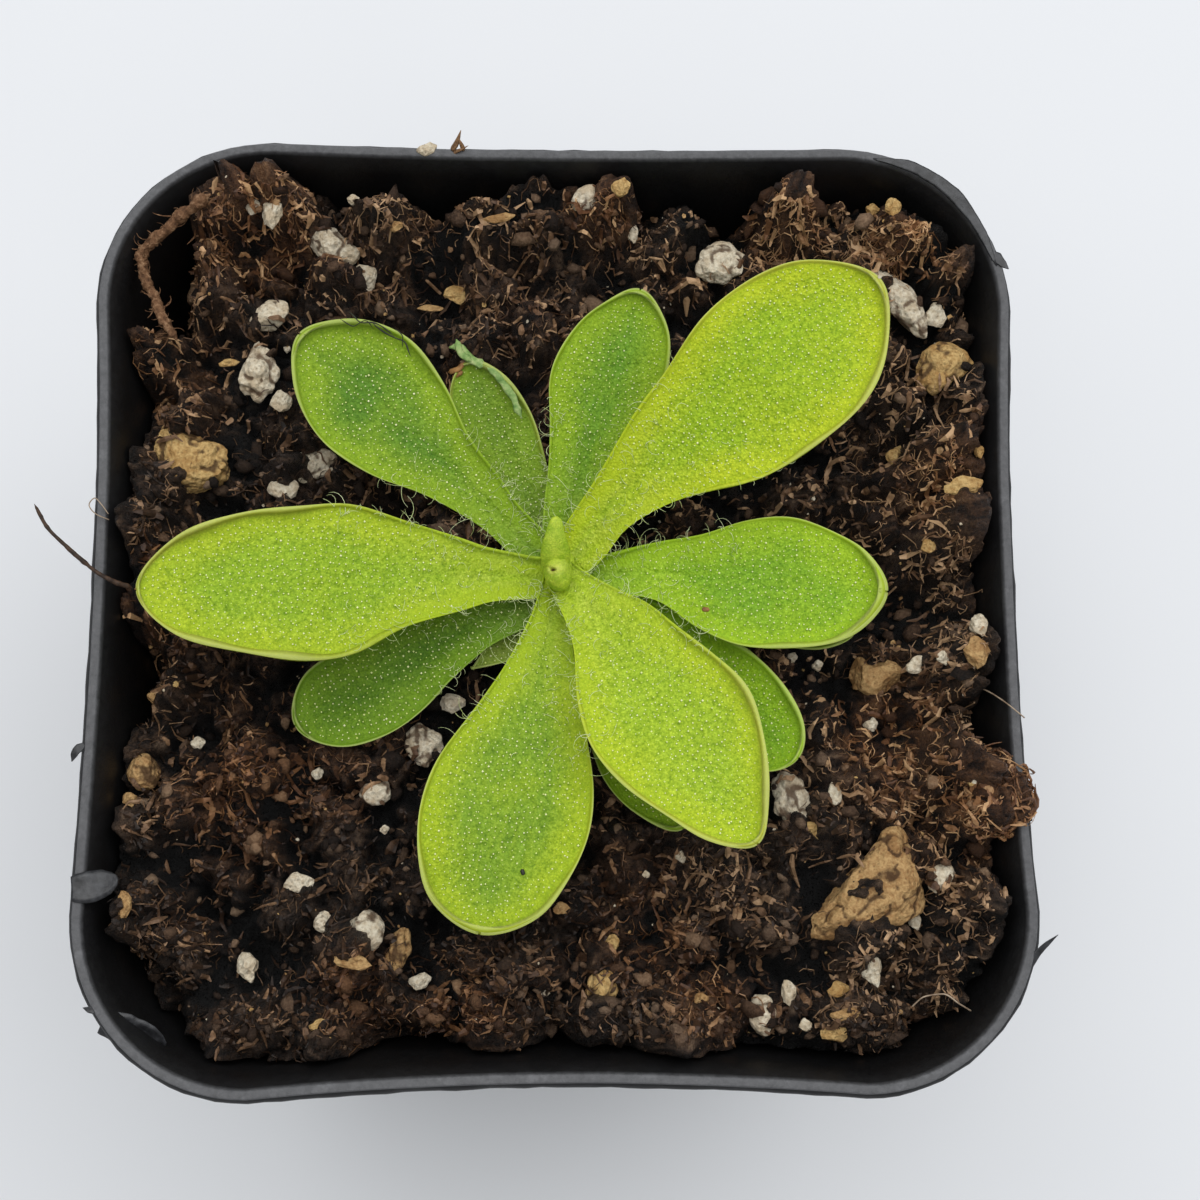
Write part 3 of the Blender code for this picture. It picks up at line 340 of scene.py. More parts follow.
# Leaves: direction in degrees, tip distance, cup depth, growth of the outline, side of the folded base,
# softness and point of the tip, blush of the left and right margin, slot, stations (distance, left edge,
# right edge), heights below the rim (distance, height), rolled margins (distance, left, right), and the
# colours of the blade's light parts, its darker middle and its margin
LEAVES = {
    "leaf_a": {
        "angle": 40.0, "tip": 33.5, "cup": 0.7, "fold": 1.0,
        "blush": (0.9, 0.75), "slot": "leaf_bright",
        "stations": ((0.7, 1.5, -2.3), (2.1, 1.85, -2.35), (3.4, 2.2, -2.25), (5.1, 2.6, -1.8),
            (6.6, 3.0, -1.85), (10.0, 4.1, -2.8), (12.5, 4.9, -4.2), (15.6, 5.5, -6.0), (21.0, 6.8, -7.1),
            (26.3, 6.5, -6.9), (30.3, 4.6, -4.7)),
        "heights": ((1.5, -3.7), (8.0, -1.1), (16.0, 2.0), (24.0, 4.2), (33.5, 5.0)),
        "roll": ((3.0, 0.35, 0.3), (8.0, 0.4, 0.3), (13.0, 0.45, 0.55), (18.0, 0.38, 0.75),
            (29.0, 0.35, 0.85), (33.0, 0.4, 0.6)),
        "light": (0.459, 0.575, 0.018), "dark": (0.31, 0.483, 0.015), "margin": (0.521, 0.575, 0.027)},
    "leaf_b": {
        "angle": 74.0, "tip": 23.9, "cup": 0.5, "grow": 0.3,
        "blush": (0.0, 0.0), "slot": "leaf_dark",
        "stations": ((0.7, 1.4, -1.4), (2.5, 1.8, -1.8), (4.9, 2.3, -2.0), (8.0, 2.8, -2.4),
            (11.3, 3.65, -3.4), (15.5, 4.75, -4.2), (20.0, 3.6, -3.75), (22.0, 2.1, -2.7)),
        "heights": ((1.5, -6.15), (8.0, -4.9), (16.0, -3.4), (24.4, -2.4)),
        "roll": ((3.0, 0.4, 0.5), (15.0, 0.42, 0.55), (20.0, 0.45, 0.75), (24.0, 0.45, 0.55)),
        "light": (0.269, 0.429, 0.017), "dark": (0.134, 0.294, 0.017), "margin": (0.291, 0.429, 0.018)},
    "leaf_c": {
        "angle": 113.0, "tip": 18.8, "cup": 0.4, "grow": 0.2,
        "blush": (0.2, 0.1), "slot": "leaf_old",
        "stations": ((0.7, 1.2, -1.2), (5.4, 1.8, -1.8), (8.7, 1.9, -2.4), (13.1, 2.7, -2.8),
            (16.7, 2.7, -1.8)),
        "heights": ((1.5, -7.35), (8.0, -6.5), (14.0, -5.1), (18.8, -4.0)),
        "roll": ((3.0, 0.3, 0.3), (12.0, 0.3, 0.6), (18.0, 0.3, 0.8)),
        "light": (0.209, 0.343, 0.021), "dark": (0.123, 0.232, 0.018), "margin": (0.323, 0.384, 0.048)},
    "leaf_d": {
        "angle": 142.0, "tip": 28.0, "cup": 0.7, "grow": 0.35, "fold": -1.0,
        "blush": (0.0, 0.0), "slot": "leaf_dark",
        "stations": ((0.7, 1.6, -1.1), (2.2, 1.8, -1.2), (4.0, 1.4, -1.35), (6.1, 1.2, -1.6),
            (8.0, 1.35, -2.2), (12.5, 2.3, -3.3), (16.5, 3.8, -5.3), (20.5, 4.2, -6.35),
            (23.7, 3.3, -5.7), (26.0, 1.7, -4.3)),
        "heights": ((1.5, -6.15), (8.0, -4.6), (16.0, -2.6), (22.0, -1.6), (28.5, -1.2)),
        "roll": ((3.0, 0.3, 0.35), (9.0, 0.35, 0.45), (14.0, 0.45, 0.5), (20.0, 0.55, 0.75),
            (28.0, 0.6, 0.7)),
        "light": (0.252, 0.4, 0.018), "dark": (0.105, 0.24, 0.017), "margin": (0.284, 0.42, 0.018)},
    "leaf_e": {
        "angle": 183.5, "tip": 33.3, "cup": 0.6, "fold": 1.0,
        "blush": (0.35, 1.0), "slot": "leaf_bright",
        "stations": ((0.7, 2.6, -0.6), (2.0, 2.9, -0.65), (3.9, 3.0, -1.0), (5.8, 3.2, -1.3),
            (7.8, 3.9, -2.0), (12.5, 5.3, -3.5), (16.6, 7.4, -4.7), (20.5, 8.0, -4.5), (25.0, 7.1, -4.0),
            (30.3, 5.4, -2.2)),
        "heights": ((1.5, -4.95), (8.0, -2.4), (16.0, 0.3), (24.0, 2.3), (33.3, 2.8)),
        "roll": ((3.0, 0.4, 0.6), (10.0, 0.5, 0.45), (15.0, 0.85, 0.45), (22.0, 1.0, 0.75),
            (29.0, 0.85, 0.75), (33.3, 0.35, 0.35)),
        "light": (0.396, 0.53, 0.021), "dark": (0.286, 0.456, 0.021), "margin": (0.374, 0.392, 0.021)},
    "leaf_f": {
        "angle": 209.0, "tip": 25.2, "cup": 0.4, "grow": 0.3,
        "blush": (0.0, 0.0), "slot": "leaf_dark",
        "stations": ((0.7, 2.3, -0.8), (2.5, 2.8, -0.8), (5.0, 3.05, -0.8), (8.2, 3.0, -1.0),
            (12.7, 4.05, -1.6), (15.4, 5.0, -1.9), (19.5, 5.5, -2.0), (23.0, 4.5, -1.4)),
        "heights": ((1.5, -6.2), (8.0, -5.4), (16.0, -4.7), (25.7, -4.4)),
        "roll": ((3.0, 0.35, 0.35), (10.0, 0.45, 0.5), (25.0, 0.5, 0.55)),
        "light": (0.153, 0.279, 0.012), "dark": (0.077, 0.177, 0.009), "margin": (0.153, 0.279, 0.012)},
    "leaf_g": {
        "angle": 230.0, "tip": 11.4, "tip_side": 0.0, "pointed": True, "soft": 0.2, "cup": 0.3,
        "blush": (0.0, 0.0), "slot": "leaf_old",
        "stations": ((1.5, 0.6, -0.6), (5.0, 1.9, -0.7), (7.4, 2.4, -0.5), (8.8, 1.95, -0.3),
            (10.2, 0.95, -0.15)),
        "heights": ((1.5, -7.35), (5.0, -7.0), (11.4, -6.7)),
        "roll": ((3.0, 0.2, 0.2), (11.0, 0.2, 0.2)),
        "light": (0.27, 0.38, 0.048), "dark": (0.18, 0.28, 0.03), "margin": (0.32, 0.42, 0.084)},
    "leaf_h": {
        "angle": 260.0, "tip": 30.8, "cup": 0.6, "grow": 0.2, "fold": -1.0,
        "blush": (0.25, 0.25), "slot": "leaf_mid",
        "stations": ((0.7, 0.9, -0.85), (3.4, 1.3, -1.0), (5.0, 1.7, -1.25), (6.6, 2.1, -1.65),
            (9.7, 3.0, -2.6), (13.8, 4.4, -4.35), (18.4, 5.8, -6.5), (22.0, 6.0, -7.0),
            (26.0, 4.9, -6.35), (28.9, 3.2, -4.9)),
        "heights": ((1.5, -4.95), (8.0, -3.2), (16.0, -1.0), (24.0, 0.1), (31.2, 0.0)),
        "roll": ((3.0, 0.35, 0.35), (9.0, 0.4, 0.4), (14.0, 0.4, 0.4), (22.0, 0.45, 0.45),
            (27.0, 0.7, 0.7), (30.8, 0.95, 0.95)),
        "light": (0.366, 0.504, 0.018), "dark": (0.207, 0.358, 0.021), "margin": (0.366, 0.448, 0.021)},
    "leaf_i": {
        "angle": 306.0, "tip": 28.1, "cup": 0.7,
        "blush": (0.7, 0.35), "slot": "leaf_bright",
        "stations": ((0.7, 0.9, -1.9), (2.2, 1.25, -2.1), (4.0, 1.85, -2.5), (5.8, 2.6, -3.05),
            (7.2, 3.3, -3.7), (10.8, 4.0, -6.1), (14.0, 4.7, -7.3), (18.0, 5.1, -7.3), (22.0, 3.6, -6.0),
            (25.6, 1.2, -4.5)),
        "heights": ((1.5, -3.6), (6.0, -1.5), (12.0, 1.2), (20.0, 3.4), (28.4, 3.9)),
        "roll": ((3.0, 0.3, 0.3), (9.0, 0.35, 0.35), (12.5, 0.7, 0.6), (20.0, 0.85, 0.65),
            (28.0, 0.75, 0.65)),
        "light": (0.433, 0.571, 0.021), "dark": (0.34, 0.51, 0.024), "margin": (0.474, 0.49, 0.042)},
    "leaf_j": {
        "angle": 295.0, "tip": 24.2, "cup": 0.4, "grow": 0.3,
        "blush": (0.0, 0.0), "slot": "leaf_dark",
        "stations": ((1.5, 0.6, -0.6), (6.0, 2.0, -2.0), (10.0, 3.0, -2.9), (14.2, 3.4, -3.5),
            (17.6, 3.6, -3.9), (21.1, 2.6, -2.9)),
        "heights": ((1.5, -7.35), (8.0, -7.0), (16.0, -6.3), (24.2, -5.2)),
        "roll": ((3.0, 0.4, 0.4), (24.0, 0.5, 0.5)),
        "light": (0.22, 0.374, 0.012), "dark": (0.132, 0.275, 0.012), "margin": (0.242, 0.396, 0.015)},
    "leaf_k": {
        "angle": 321.0, "tip": 25.3, "cup": 0.7, "grow": 0.35,
        "blush": (0.0, 0.0), "slot": "leaf_dark",
        "stations": ((1.5, 0.7, -0.7), (6.0, 1.8, -1.8), (10.0, 2.6, -2.6), (12.5, 3.1, -3.2),
            (17.0, 3.8, -3.9), (21.0, 3.2, -3.8), (24.2, 1.6, -2.5)),
        "heights": ((1.5, -6.15), (8.0, -5.3), (16.0, -4.5), (26.0, -3.8)),
        "roll": ((3.0, 0.6, 0.4), (14.0, 0.8, 0.4), (25.7, 0.7, 0.4)),
        "light": (0.252, 0.438, 0.012), "dark": (0.144, 0.325, 0.012), "margin": (0.36, 0.575, 0.03)},
    "leaf_l": {
        "angle": 355.6, "tip": 26.8, "cup": 0.5, "grow": 0.15, "fold": 1.0,
        "blush": (0.0, 0.55), "slot": "leaf_mid",
        "stations": ((0.7, 0.5, -1.9), (2.0, 0.5, -2.1), (4.0, 0.85, -2.3), (5.8, 1.4, -2.2),
            (8.5, 2.1, -2.6), (11.8, 2.8, -4.8), (15.0, 4.0, -6.0), (19.0, 4.5, -6.1), (22.9, 3.3, -5.4),
            (25.0, 2.0, -4.1)),
        "heights": ((1.5, -4.95), (8.0, -3.6), (16.0, -1.8), (26.8, -0.8)),
        "roll": ((3.0, 0.6, 0.3), (12.0, 0.3, 0.4), (18.0, 0.35, 0.75), (24.0, 0.5, 1.0),
            (26.8, 0.8, 0.95)),
        "light": (0.33, 0.526, 0.018), "dark": (0.201, 0.398, 0.018), "margin": (0.389, 0.55, 0.024)},
    "leaf_m": {
        "angle": 346.0, "tip": 25.6, "cup": 0.3,
        "blush": (0.0, 0.0), "slot": "leaf_dark",
        "stations": ((1.5, 0.8, -0.2), (4.0, 2.2, -0.4), (6.8, 3.5, -0.6), (10.0, 3.9, -1.2),
            (15.0, 3.9, -2.2), (21.0, 3.3, -2.1), (23.6, 2.2, -1.5)),
        "heights": ((1.5, -7.35), (8.0, -6.7), (16.0, -5.8), (25.6, -4.6)),
        "roll": ((3.0, 0.4, 0.4), (25.0, 0.5, 0.5)),
        "light": (0.22, 0.36, 0.018), "dark": (0.14, 0.27, 0.018), "margin": (0.27, 0.4, 0.024)},
}

# Scraps and threads on the leaves: name, look, slot and routes with radius and flatness
LEAF_MARKS = (
    ("scrap_green", "pale", "leaf_old", (
        (0.42, 0.35, ((-9.2, 22.0, -3.0), (-8.3, 22.1, -2.9), (-7.4, 21.1, -3.1), (-6.0, 20.6, -3.3))),
        (0.34, 0.4, ((-8.6, 22.6, -2.6), (-8.2, 21.7, -2.7), (-7.3, 20.8, -2.9))),
        (0.30, 0.5, ((-6.2, 20.6, -3.2), (-5.0, 19.6, -3.5), (-3.9, 18.0, -3.8), (-3.1, 16.2, -4.1))),
    )),
    ("scrap_brown", "brown", "leaf_old", (
        (0.26, 0.6, ((-9.3, 20.2, -3.9), (-8.6, 20.3, -3.5), (-8.0, 20.9, -3.3))),
        (0.22, 0.6, ((-8.9, 19.8, -4.0), (-8.5, 20.0, -3.8), (-8.1, 20.2, -3.6))),
    )),
    ("leaf_threads", "black", "leaf_old", (
        (0.06, 1.0, ((-17.4, 24.0, 0.4), (-16.3, 23.2, 0.3), (-15.0, 23.0, 0.2), (-13.6, 22.0, 0.1))),
        (0.05, 1.0, ((-18.0, 23.4, 0.4), (-17.0, 22.8, 0.2), (-16.0, 23.3, 0.4), (-15.2, 22.6, 0.1))),
        (0.07, 1.0, ((-15.4, 23.1, 0.2), (-14.2, 22.2, 0.1), (-12.8, 21.6, -0.1), (-12.2, 20.4, -0.3))),
        (0.05, 1.0, ((-13.6, 22.6, 0.2), (-12.9, 21.9, 0.1), (-12.9, 21.1, 0.0))),
    )),
    ("leaf_dot", "brown", "leaf_old", (
        (0.17, 0.6, ((11.7, -0.7, -0.72), (12.0, -0.75, -0.70), (12.3, -0.65, -0.72))),
    )),
    ("leaf_speck", "black", "leaf_old", (
        (0.13, 0.6, ((-3.0, -21.5, 0.22), (-2.9, -21.75, 0.24), (-2.85, -22.0, 0.22))),
    )),
)

# Mottled looks: roughness, specular, grain (size, detail, roughness), colours and relief (depth, strength)
MOTTLED = {
    "pot_film": (0.32, 0.45, (0.9, 7.0, 0.65), (
        (0.36, (0.006, 0.006, 0.007)), (0.66, (0.045, 0.046, 0.050))), (0.08, 0.7)),
    # gland droplets: yellowish, their near-white tones a painted glint of the droplets
    "gland_drop_glint": (0.25, 0.5, (1.2, 2.0), ((0.36, (0.76, 0.86, 0.24)), (0.64, (1.0, 1.0, 0.62))), None),
    "hair_pale": (0.4, 0.4, (1.5, 2.0), ((0.3, (0.52, 0.64, 0.20)), (0.7, (0.84, 0.90, 0.55))), None),
    "shred_brown": (0.7, 0.3, (0.35, 5.0, 0.7), (
        (0.30, (0.060, 0.026, 0.010)), (0.66, (0.34, 0.19, 0.09))), (0.2, 0.9)),
    "withered_scrap": (0.6, 0.25, (0.6, 5.0, 0.65), (
        (0.3, (0.10, 0.20, 0.045)), (0.5, (0.24, 0.36, 0.11)), (0.7, (0.45, 0.50, 0.22))), (0.12, 0.8)),
    "withered_brown": (0.6, 0.25, (0.6, 5.0, 0.65), (
        (0.3, (0.10, 0.040, 0.012)), (0.7, (0.42, 0.22, 0.075))), None),
    "dark_thread": (0.5, 0.35, (0.6, 3.0), (
        (0.3, (0.006, 0.008, 0.004)), (0.7, (0.035, 0.040, 0.018))), None),
    "root_bark": (0.7, 0.3, (0.45, 7.0, 0.7), (
        (0.28, (0.045, 0.019, 0.008)), (0.5, (0.19, 0.092, 0.042)), (0.72, (0.46, 0.28, 0.155))), (0.3, 1.0)),
    "twig_dark": (0.6, 0.3, (0.5, 5.0), (
        (0.3, (0.010, 0.006, 0.004)), (0.7, (0.085, 0.046, 0.026))), None),
    "strand_pale": (0.6, 0.35, (0.9, 3.0), ((0.3, (0.16, 0.10, 0.06)), (0.7, (0.46, 0.36, 0.26))), None),
    "floor_pale": (0.7, 0.2, (90.0, 2.0), ((0.3, (0.77, 0.78, 0.80)), (0.7, (0.79, 0.80, 0.82))), None),
}

# Mottled look of each kind of mark
MARK_LOOKS = {"pale": "withered_scrap", "brown": "withered_brown", "black": "dark_thread"}


def value_hash(ix, iy, iz, seed):
    """Repeatable value from -1 to 1 for whole-number places."""
    n = ix * 374761393 + iy * 668265263 + iz * 1274126177 + seed * 97463477
    n = (n ^ (n >> 13)) & 0xFFFFFFFF
    n = (n * 1274126177) & 0xFFFFFFFF
    n = n ^ (n >> 16)
    return (n & 0xFFFF) / 32767.5 - 1.0


def smooth_noise(points, scale, seed):
    """Smooth noise from -1 to 1 at many points."""
    spots = np.asarray(points, float) / scale
    cell = np.floor(spots).astype(np.int64)
    part = spots - cell
    fade = part ** 3 * (part * (part * 6.0 - 15.0) + 10.0)
    total = np.zeros(len(spots))
    for dx in (0, 1):
        for dy in (0, 1):
            for dz in (0, 1):
                weight = fade[:, 0] if dx else 1.0 - fade[:, 0]
                weight = weight * (fade[:, 1] if dy else 1.0 - fade[:, 1])
                weight = weight * (fade[:, 2] if dz else 1.0 - fade[:, 2])
                total += weight * value_hash(cell[:, 0] + dx, cell[:, 1] + dy, cell[:, 2] + dz, seed)
    return total


def layered_noise(points, scale, seed, layers=4):
    """Several layers of smooth noise."""
    total = np.zeros(len(points))
    size = 1.0
    for layer in range(layers):
        total += size * smooth_noise(points, scale * 0.5 ** layer, seed + layer)
        size *= 0.55
    return total


def cell_lumps(x, y, size, seed, low, high):
    """Upper side of scattered balls, and each place's own ball as a random value."""
    iu = np.floor(x / size).astype(np.int64)
    iv = np.floor(y / size).astype(np.int64)
    top = np.full(x.shape, -9.0 * size)
    own = np.zeros(x.shape)
    for du in (-1, 0, 1):
        for dv in (-1, 0, 1):
            cu = iu + du
            cv = iv + dv
            zero = np.zeros_like(cu)
            px = (cu + 0.5 + 0.42 * value_hash(cu, cv, zero, seed)) * size
            py = (cv + 0.5 + 0.42 * value_hash(cu, cv, zero + 1, seed)) * size
            radius = size * (0.5 * (low + high) + 0.5 * (high - low) * value_hash(cu, cv, zero + 2, seed))
            lift = 0.30 * size * value_hash(cu, cv, zero + 3, seed)
            reach = (x - px) ** 2 + (y - py) ** 2
            dome = lift + np.sqrt(np.maximum(radius ** 2 - reach, 0.0)) - 0.6 * (reach > radius ** 2) * (
                np.sqrt(reach) - radius)
            higher = dome > top
            top = np.where(higher, dome, top)
            own = np.where(higher, value_hash(cu, cv, zero + 4, seed), own)
    return top, own


def interpolate(knots, values, at):
    """Smooth curve through the knots that doesn't overshoot."""
    knots = np.asarray(knots, float)
    values = np.asarray(values, float)
    at = np.clip(np.asarray(at, float), knots[0], knots[-1])
    width = np.diff(knots)
    slope = np.diff(values) / width
    tangent = np.zeros(len(knots))
    tangent[0] = slope[0]
    tangent[-1] = slope[-1]
    for index in range(1, len(knots) - 1):
        before = slope[index - 1]
        after = slope[index]
        if before * after > 0:
            first = 2.0 * width[index] + width[index - 1]
            second = width[index] + 2.0 * width[index - 1]
            tangent[index] = (first + second) / (first / before + second / after)
    cell = np.clip(np.searchsorted(knots, at, side="right") - 1, 0, len(width) - 1)
    t = (at - knots[cell]) / width[cell]
    span = width[cell]
    return (values[cell] * (1 + 2 * t) * (1 - t) ** 2 + tangent[cell] * span * t * (1 - t) ** 2
            + values[cell + 1] * t * t * (3 - 2 * t) + tangent[cell + 1] * span * t * t * (t - 1))


def lengths_along(points):
    """Running length at each point of a line."""
    return np.concatenate([[0.0], np.cumsum(np.linalg.norm(np.diff(points, axis=0), axis=1))])


def unit_rows(vectors):
    """Directions of the vectors, each of length one."""
    return vectors / np.linalg.norm(vectors, axis=1)[:, None]


def flat_spots(x, y):
    """Places on the ground as points."""
    return np.column_stack([x, y, np.zeros(len(x))])


def turned(x, y, angle, middle):
    """Places turned by an angle and moved to a middle."""
    return (middle[0] + x * math.cos(angle) - y * math.sin(angle),
            middle[1] + x * math.sin(angle) + y * math.cos(angle))


def spline_through(points, steps):
    """Centripetal curve through a line of points."""
    points = np.array(points, float)
    first = 2.0 * points[0] - points[1]
    last = 2.0 * points[-1] - points[-2]
    knots = np.concatenate([[first], points, [last]])
    made = []
    for index in range(len(points) - 1):
        p = knots[index:index + 4]
        t = np.concatenate([[0.0], np.cumsum(np.linalg.norm(np.diff(p, axis=0), axis=1) ** 0.5)])
        u = np.linspace(t[1], t[2], steps, endpoint=False)[:, None]
        a = [(t[k + 1] - u) / (t[k + 1] - t[k]) * p[k] + (u - t[k]) / (t[k + 1] - t[k]) * p[k + 1]
             for k in range(3)]
        b = [(t[k + 2] - u) / (t[k + 2] - t[k]) * a[k] + (u - t[k]) / (t[k + 2] - t[k]) * a[k + 1]
             for k in range(2)]
        made.append((t[2] - u) / (t[2] - t[1]) * b[0] + (u - t[1]) / (t[2] - t[1]) * b[1])
    return np.concatenate(made + [points[-1:]])


def smooth_path(points, steps):
    """Points of a smooth curve through the given ones, in pot coordinates."""
    points = np.array(points, float)
    lengths = lengths_along(points)
    at = np.linspace(0.0, lengths[-1], steps)
    columns = [interpolate(lengths, points[:, axis], at) for axis in range(3)]
    return np.column_stack([columns[0], columns[1], columns[2] + RIM_Z])


def joined(parts):
    """One mesh made of several, each given as points and faces."""
    faces = []
    offset = 0
    for points, own_faces in parts:
        faces += [tuple(v + offset for v in face) for face in own_faces]
        offset += len(points)
    return np.concatenate([points for points, _ in parts]), faces


def ring_faces(count, levels, closed_ends=True):
    """Faces between equal rings of points."""
    faces = []
    for level in range(levels - 1):
        for step in range(count):
            following = (step + 1) % count
            low = level * count
            high = (level + 1) * count
            faces.append((low + step, low + following, high + following, high + step))
    if closed_ends:
        faces.append(tuple(reversed(range(count))))
        faces.append(tuple(range((levels - 1) * count, levels * count)))
    return faces


def sheet_faces(rows, columns):
    """Closed faces of a thin sheet with an upper and a lower grid."""
    offset = rows * columns
    faces = []
    for i in range(rows - 1):
        for j in range(columns - 1):
            a = i * columns + j
            faces.append((a, a + columns, a + columns + 1, a + 1))
            faces.append((a + offset, a + 1 + offset, a + columns + 1 + offset, a + columns + offset))
    ring = list(range(columns))
    ring += [i * columns + columns - 1 for i in range(1, rows)]
    ring += [(rows - 1) * columns + j for j in range(columns - 2, -1, -1)]
    ring += [i * columns for i in range(rows - 2, 0, -1)]
    for index, begin in enumerate(ring):
        end = ring[(index + 1) % len(ring)]
        faces.append((begin, end, end + offset, begin + offset))
    return faces


def tube_rings(path, radii, sides, flat=1.0, roll=None):
    """Rings of points around many paths at once; path is (count, steps, 3)."""
    ahead = np.gradient(path, axis=1)
    ahead /= np.maximum(np.linalg.norm(ahead, axis=-1), 1e-9)[..., None]
    upward = np.zeros_like(ahead)
    upward[..., 2] = 1.0
    steep = np.abs(ahead[..., 2]) > 0.92
    upward[steep] = (1.0, 0.0, 0.0)
    aside = np.cross(ahead, upward)
    aside /= np.maximum(np.linalg.norm(aside, axis=-1), 1e-9)[..., None]
    other = np.cross(aside, ahead)
    if roll is not None:
        turned = aside * np.cos(roll)[:, None, None] + other * np.sin(roll)[:, None, None]
        other = other * np.cos(roll)[:, None, None] - aside * np.sin(roll)[:, None, None]
        aside = turned
    turns = 2.0 * math.pi * np.arange(sides) / sides
    ring = (aside[:, :, None, :] * np.cos(turns)[None, None, :, None]
            + flat * other[:, :, None, :] * np.sin(turns)[None, None, :, None])
    return path[:, :, None, :] + ring * radii[:, :, None, None]


def tube_mesh(path, radii, sides, flat=1.0, roll=None):
    """Closed tubes along many paths."""
    count, steps = path.shape[:2]
    points = tube_rings(path, radii, sides, flat, roll).reshape(-1, 3)
    one = ring_faces(sides, steps)
    per = steps * sides
    faces = [tuple(v + o for v in face) for o in range(0, count * per, per) for face in one]
    return points, faces


def ball_shape(rings, sides):
    """Unit ball as points and faces."""
    points = [(0.0, 0.0, 1.0)]
    for i in range(1, rings):
        tilt = math.pi * i / rings
        for j in range(sides):
            turn = 2.0 * math.pi * j / sides
            points.append((math.sin(tilt) * math.cos(turn), math.sin(tilt) * math.sin(turn), math.cos(tilt)))
    points.append((0.0, 0.0, -1.0))
    faces = [(0, 1 + j, 1 + (j + 1) % sides) for j in range(sides)]
    for i in range(rings - 2):
        for j in range(sides):
            a = 1 + i * sides + j
            b = 1 + i * sides + (j + 1) % sides
            faces.append((a, a + sides, b + sides, b))
    last = len(points) - 1
    base = 1 + (rings - 2) * sides
    faces += [(last, base + (j + 1) % sides, base + j) for j in range(sides)]
    return np.array(points), faces


def geodesic_ball(divisions):
    """Unit ball of even triangles, as points and faces."""
    work = bmesh.new()
    bmesh.ops.create_icosphere(work, subdivisions=divisions, radius=1.0)
    points = np.array([v.co[:] for v in work.verts])
    faces = [tuple(v.index for v in face.verts) for face in work.faces]
    work.free()
    return points, faces


def chipped(unit, seed, planes, low):
    """Distance from the middle of a stone chipped flat on many sides, for unit directions."""
    draw = np.random.default_rng(seed)
    normal = unit_rows(draw.normal(0, 1, (planes, 3)))
    offset = draw.uniform(low, 0.97, planes)
    facing = np.maximum(unit @ normal.T, 1e-6)
    return np.minimum((offset[None, :] / facing).min(axis=1), 1.06)


def rough_balls(kinds, divisions, amount, seed):
    """Several lumpy balls to scatter as crumbs."""
    made = []
    for kind in range(kinds):
        points, faces = geodesic_ball(divisions)
        lump = 1.0 + amount * layered_noise(points + 7.0 * kind, 0.9, seed + kind, 3)
        made.append((points * lump[:, None], faces))
    return made


def stone_shapes(kinds, divisions, low):
    """Several chipped stones of unit size."""
    made = []
    for kind in range(kinds):
        unit, faces = geodesic_ball(divisions)
        lump = chipped(unit, 200 + kind, 12, low) + 0.16 * layered_noise(unit + 5.0 * kind, 0.7, kind, 3)
        made.append((unit * lump[:, None], faces))
    return made


def turn_matrices(draw, count):
    """Random rotations."""
    w, x, y, z = unit_rows(draw.normal(0, 1, (count, 4))).T
    return np.stack([
        np.stack([1 - 2 * (y * y + z * z), 2 * (x * y - z * w), 2 * (x * z + y * w)], -1),
        np.stack([2 * (x * y + z * w), 1 - 2 * (x * x + z * z), 2 * (y * z - x * w)], -1),
        np.stack([2 * (x * z - y * w), 2 * (y * z + x * w), 1 - 2 * (x * x + y * y)], -1)], 1)


def make_piece(name, points, faces, material, values=None, smooth=True):
    """Mesh object from points in millimetres, riding on the root body."""
    mesh = bpy.data.meshes.new(name)
    scaled = (np.asarray(points, float) * MM).tolist()
    mesh.from_pydata(scaled, [], faces if isinstance(faces, list) else faces.tolist())
    if values:
        for label, data in values.items():
            layer = mesh.attributes.new(label, "FLOAT", "POINT")
            layer.data.foreach_set("value", np.asarray(data, np.float32))
    if smooth:
        mesh.shade_smooth()
    mesh.materials.append(material)
    piece = bpy.data.objects.new(name, mesh)
    bpy.context.collection.objects.link(piece)
    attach(piece, "root")
    return piece


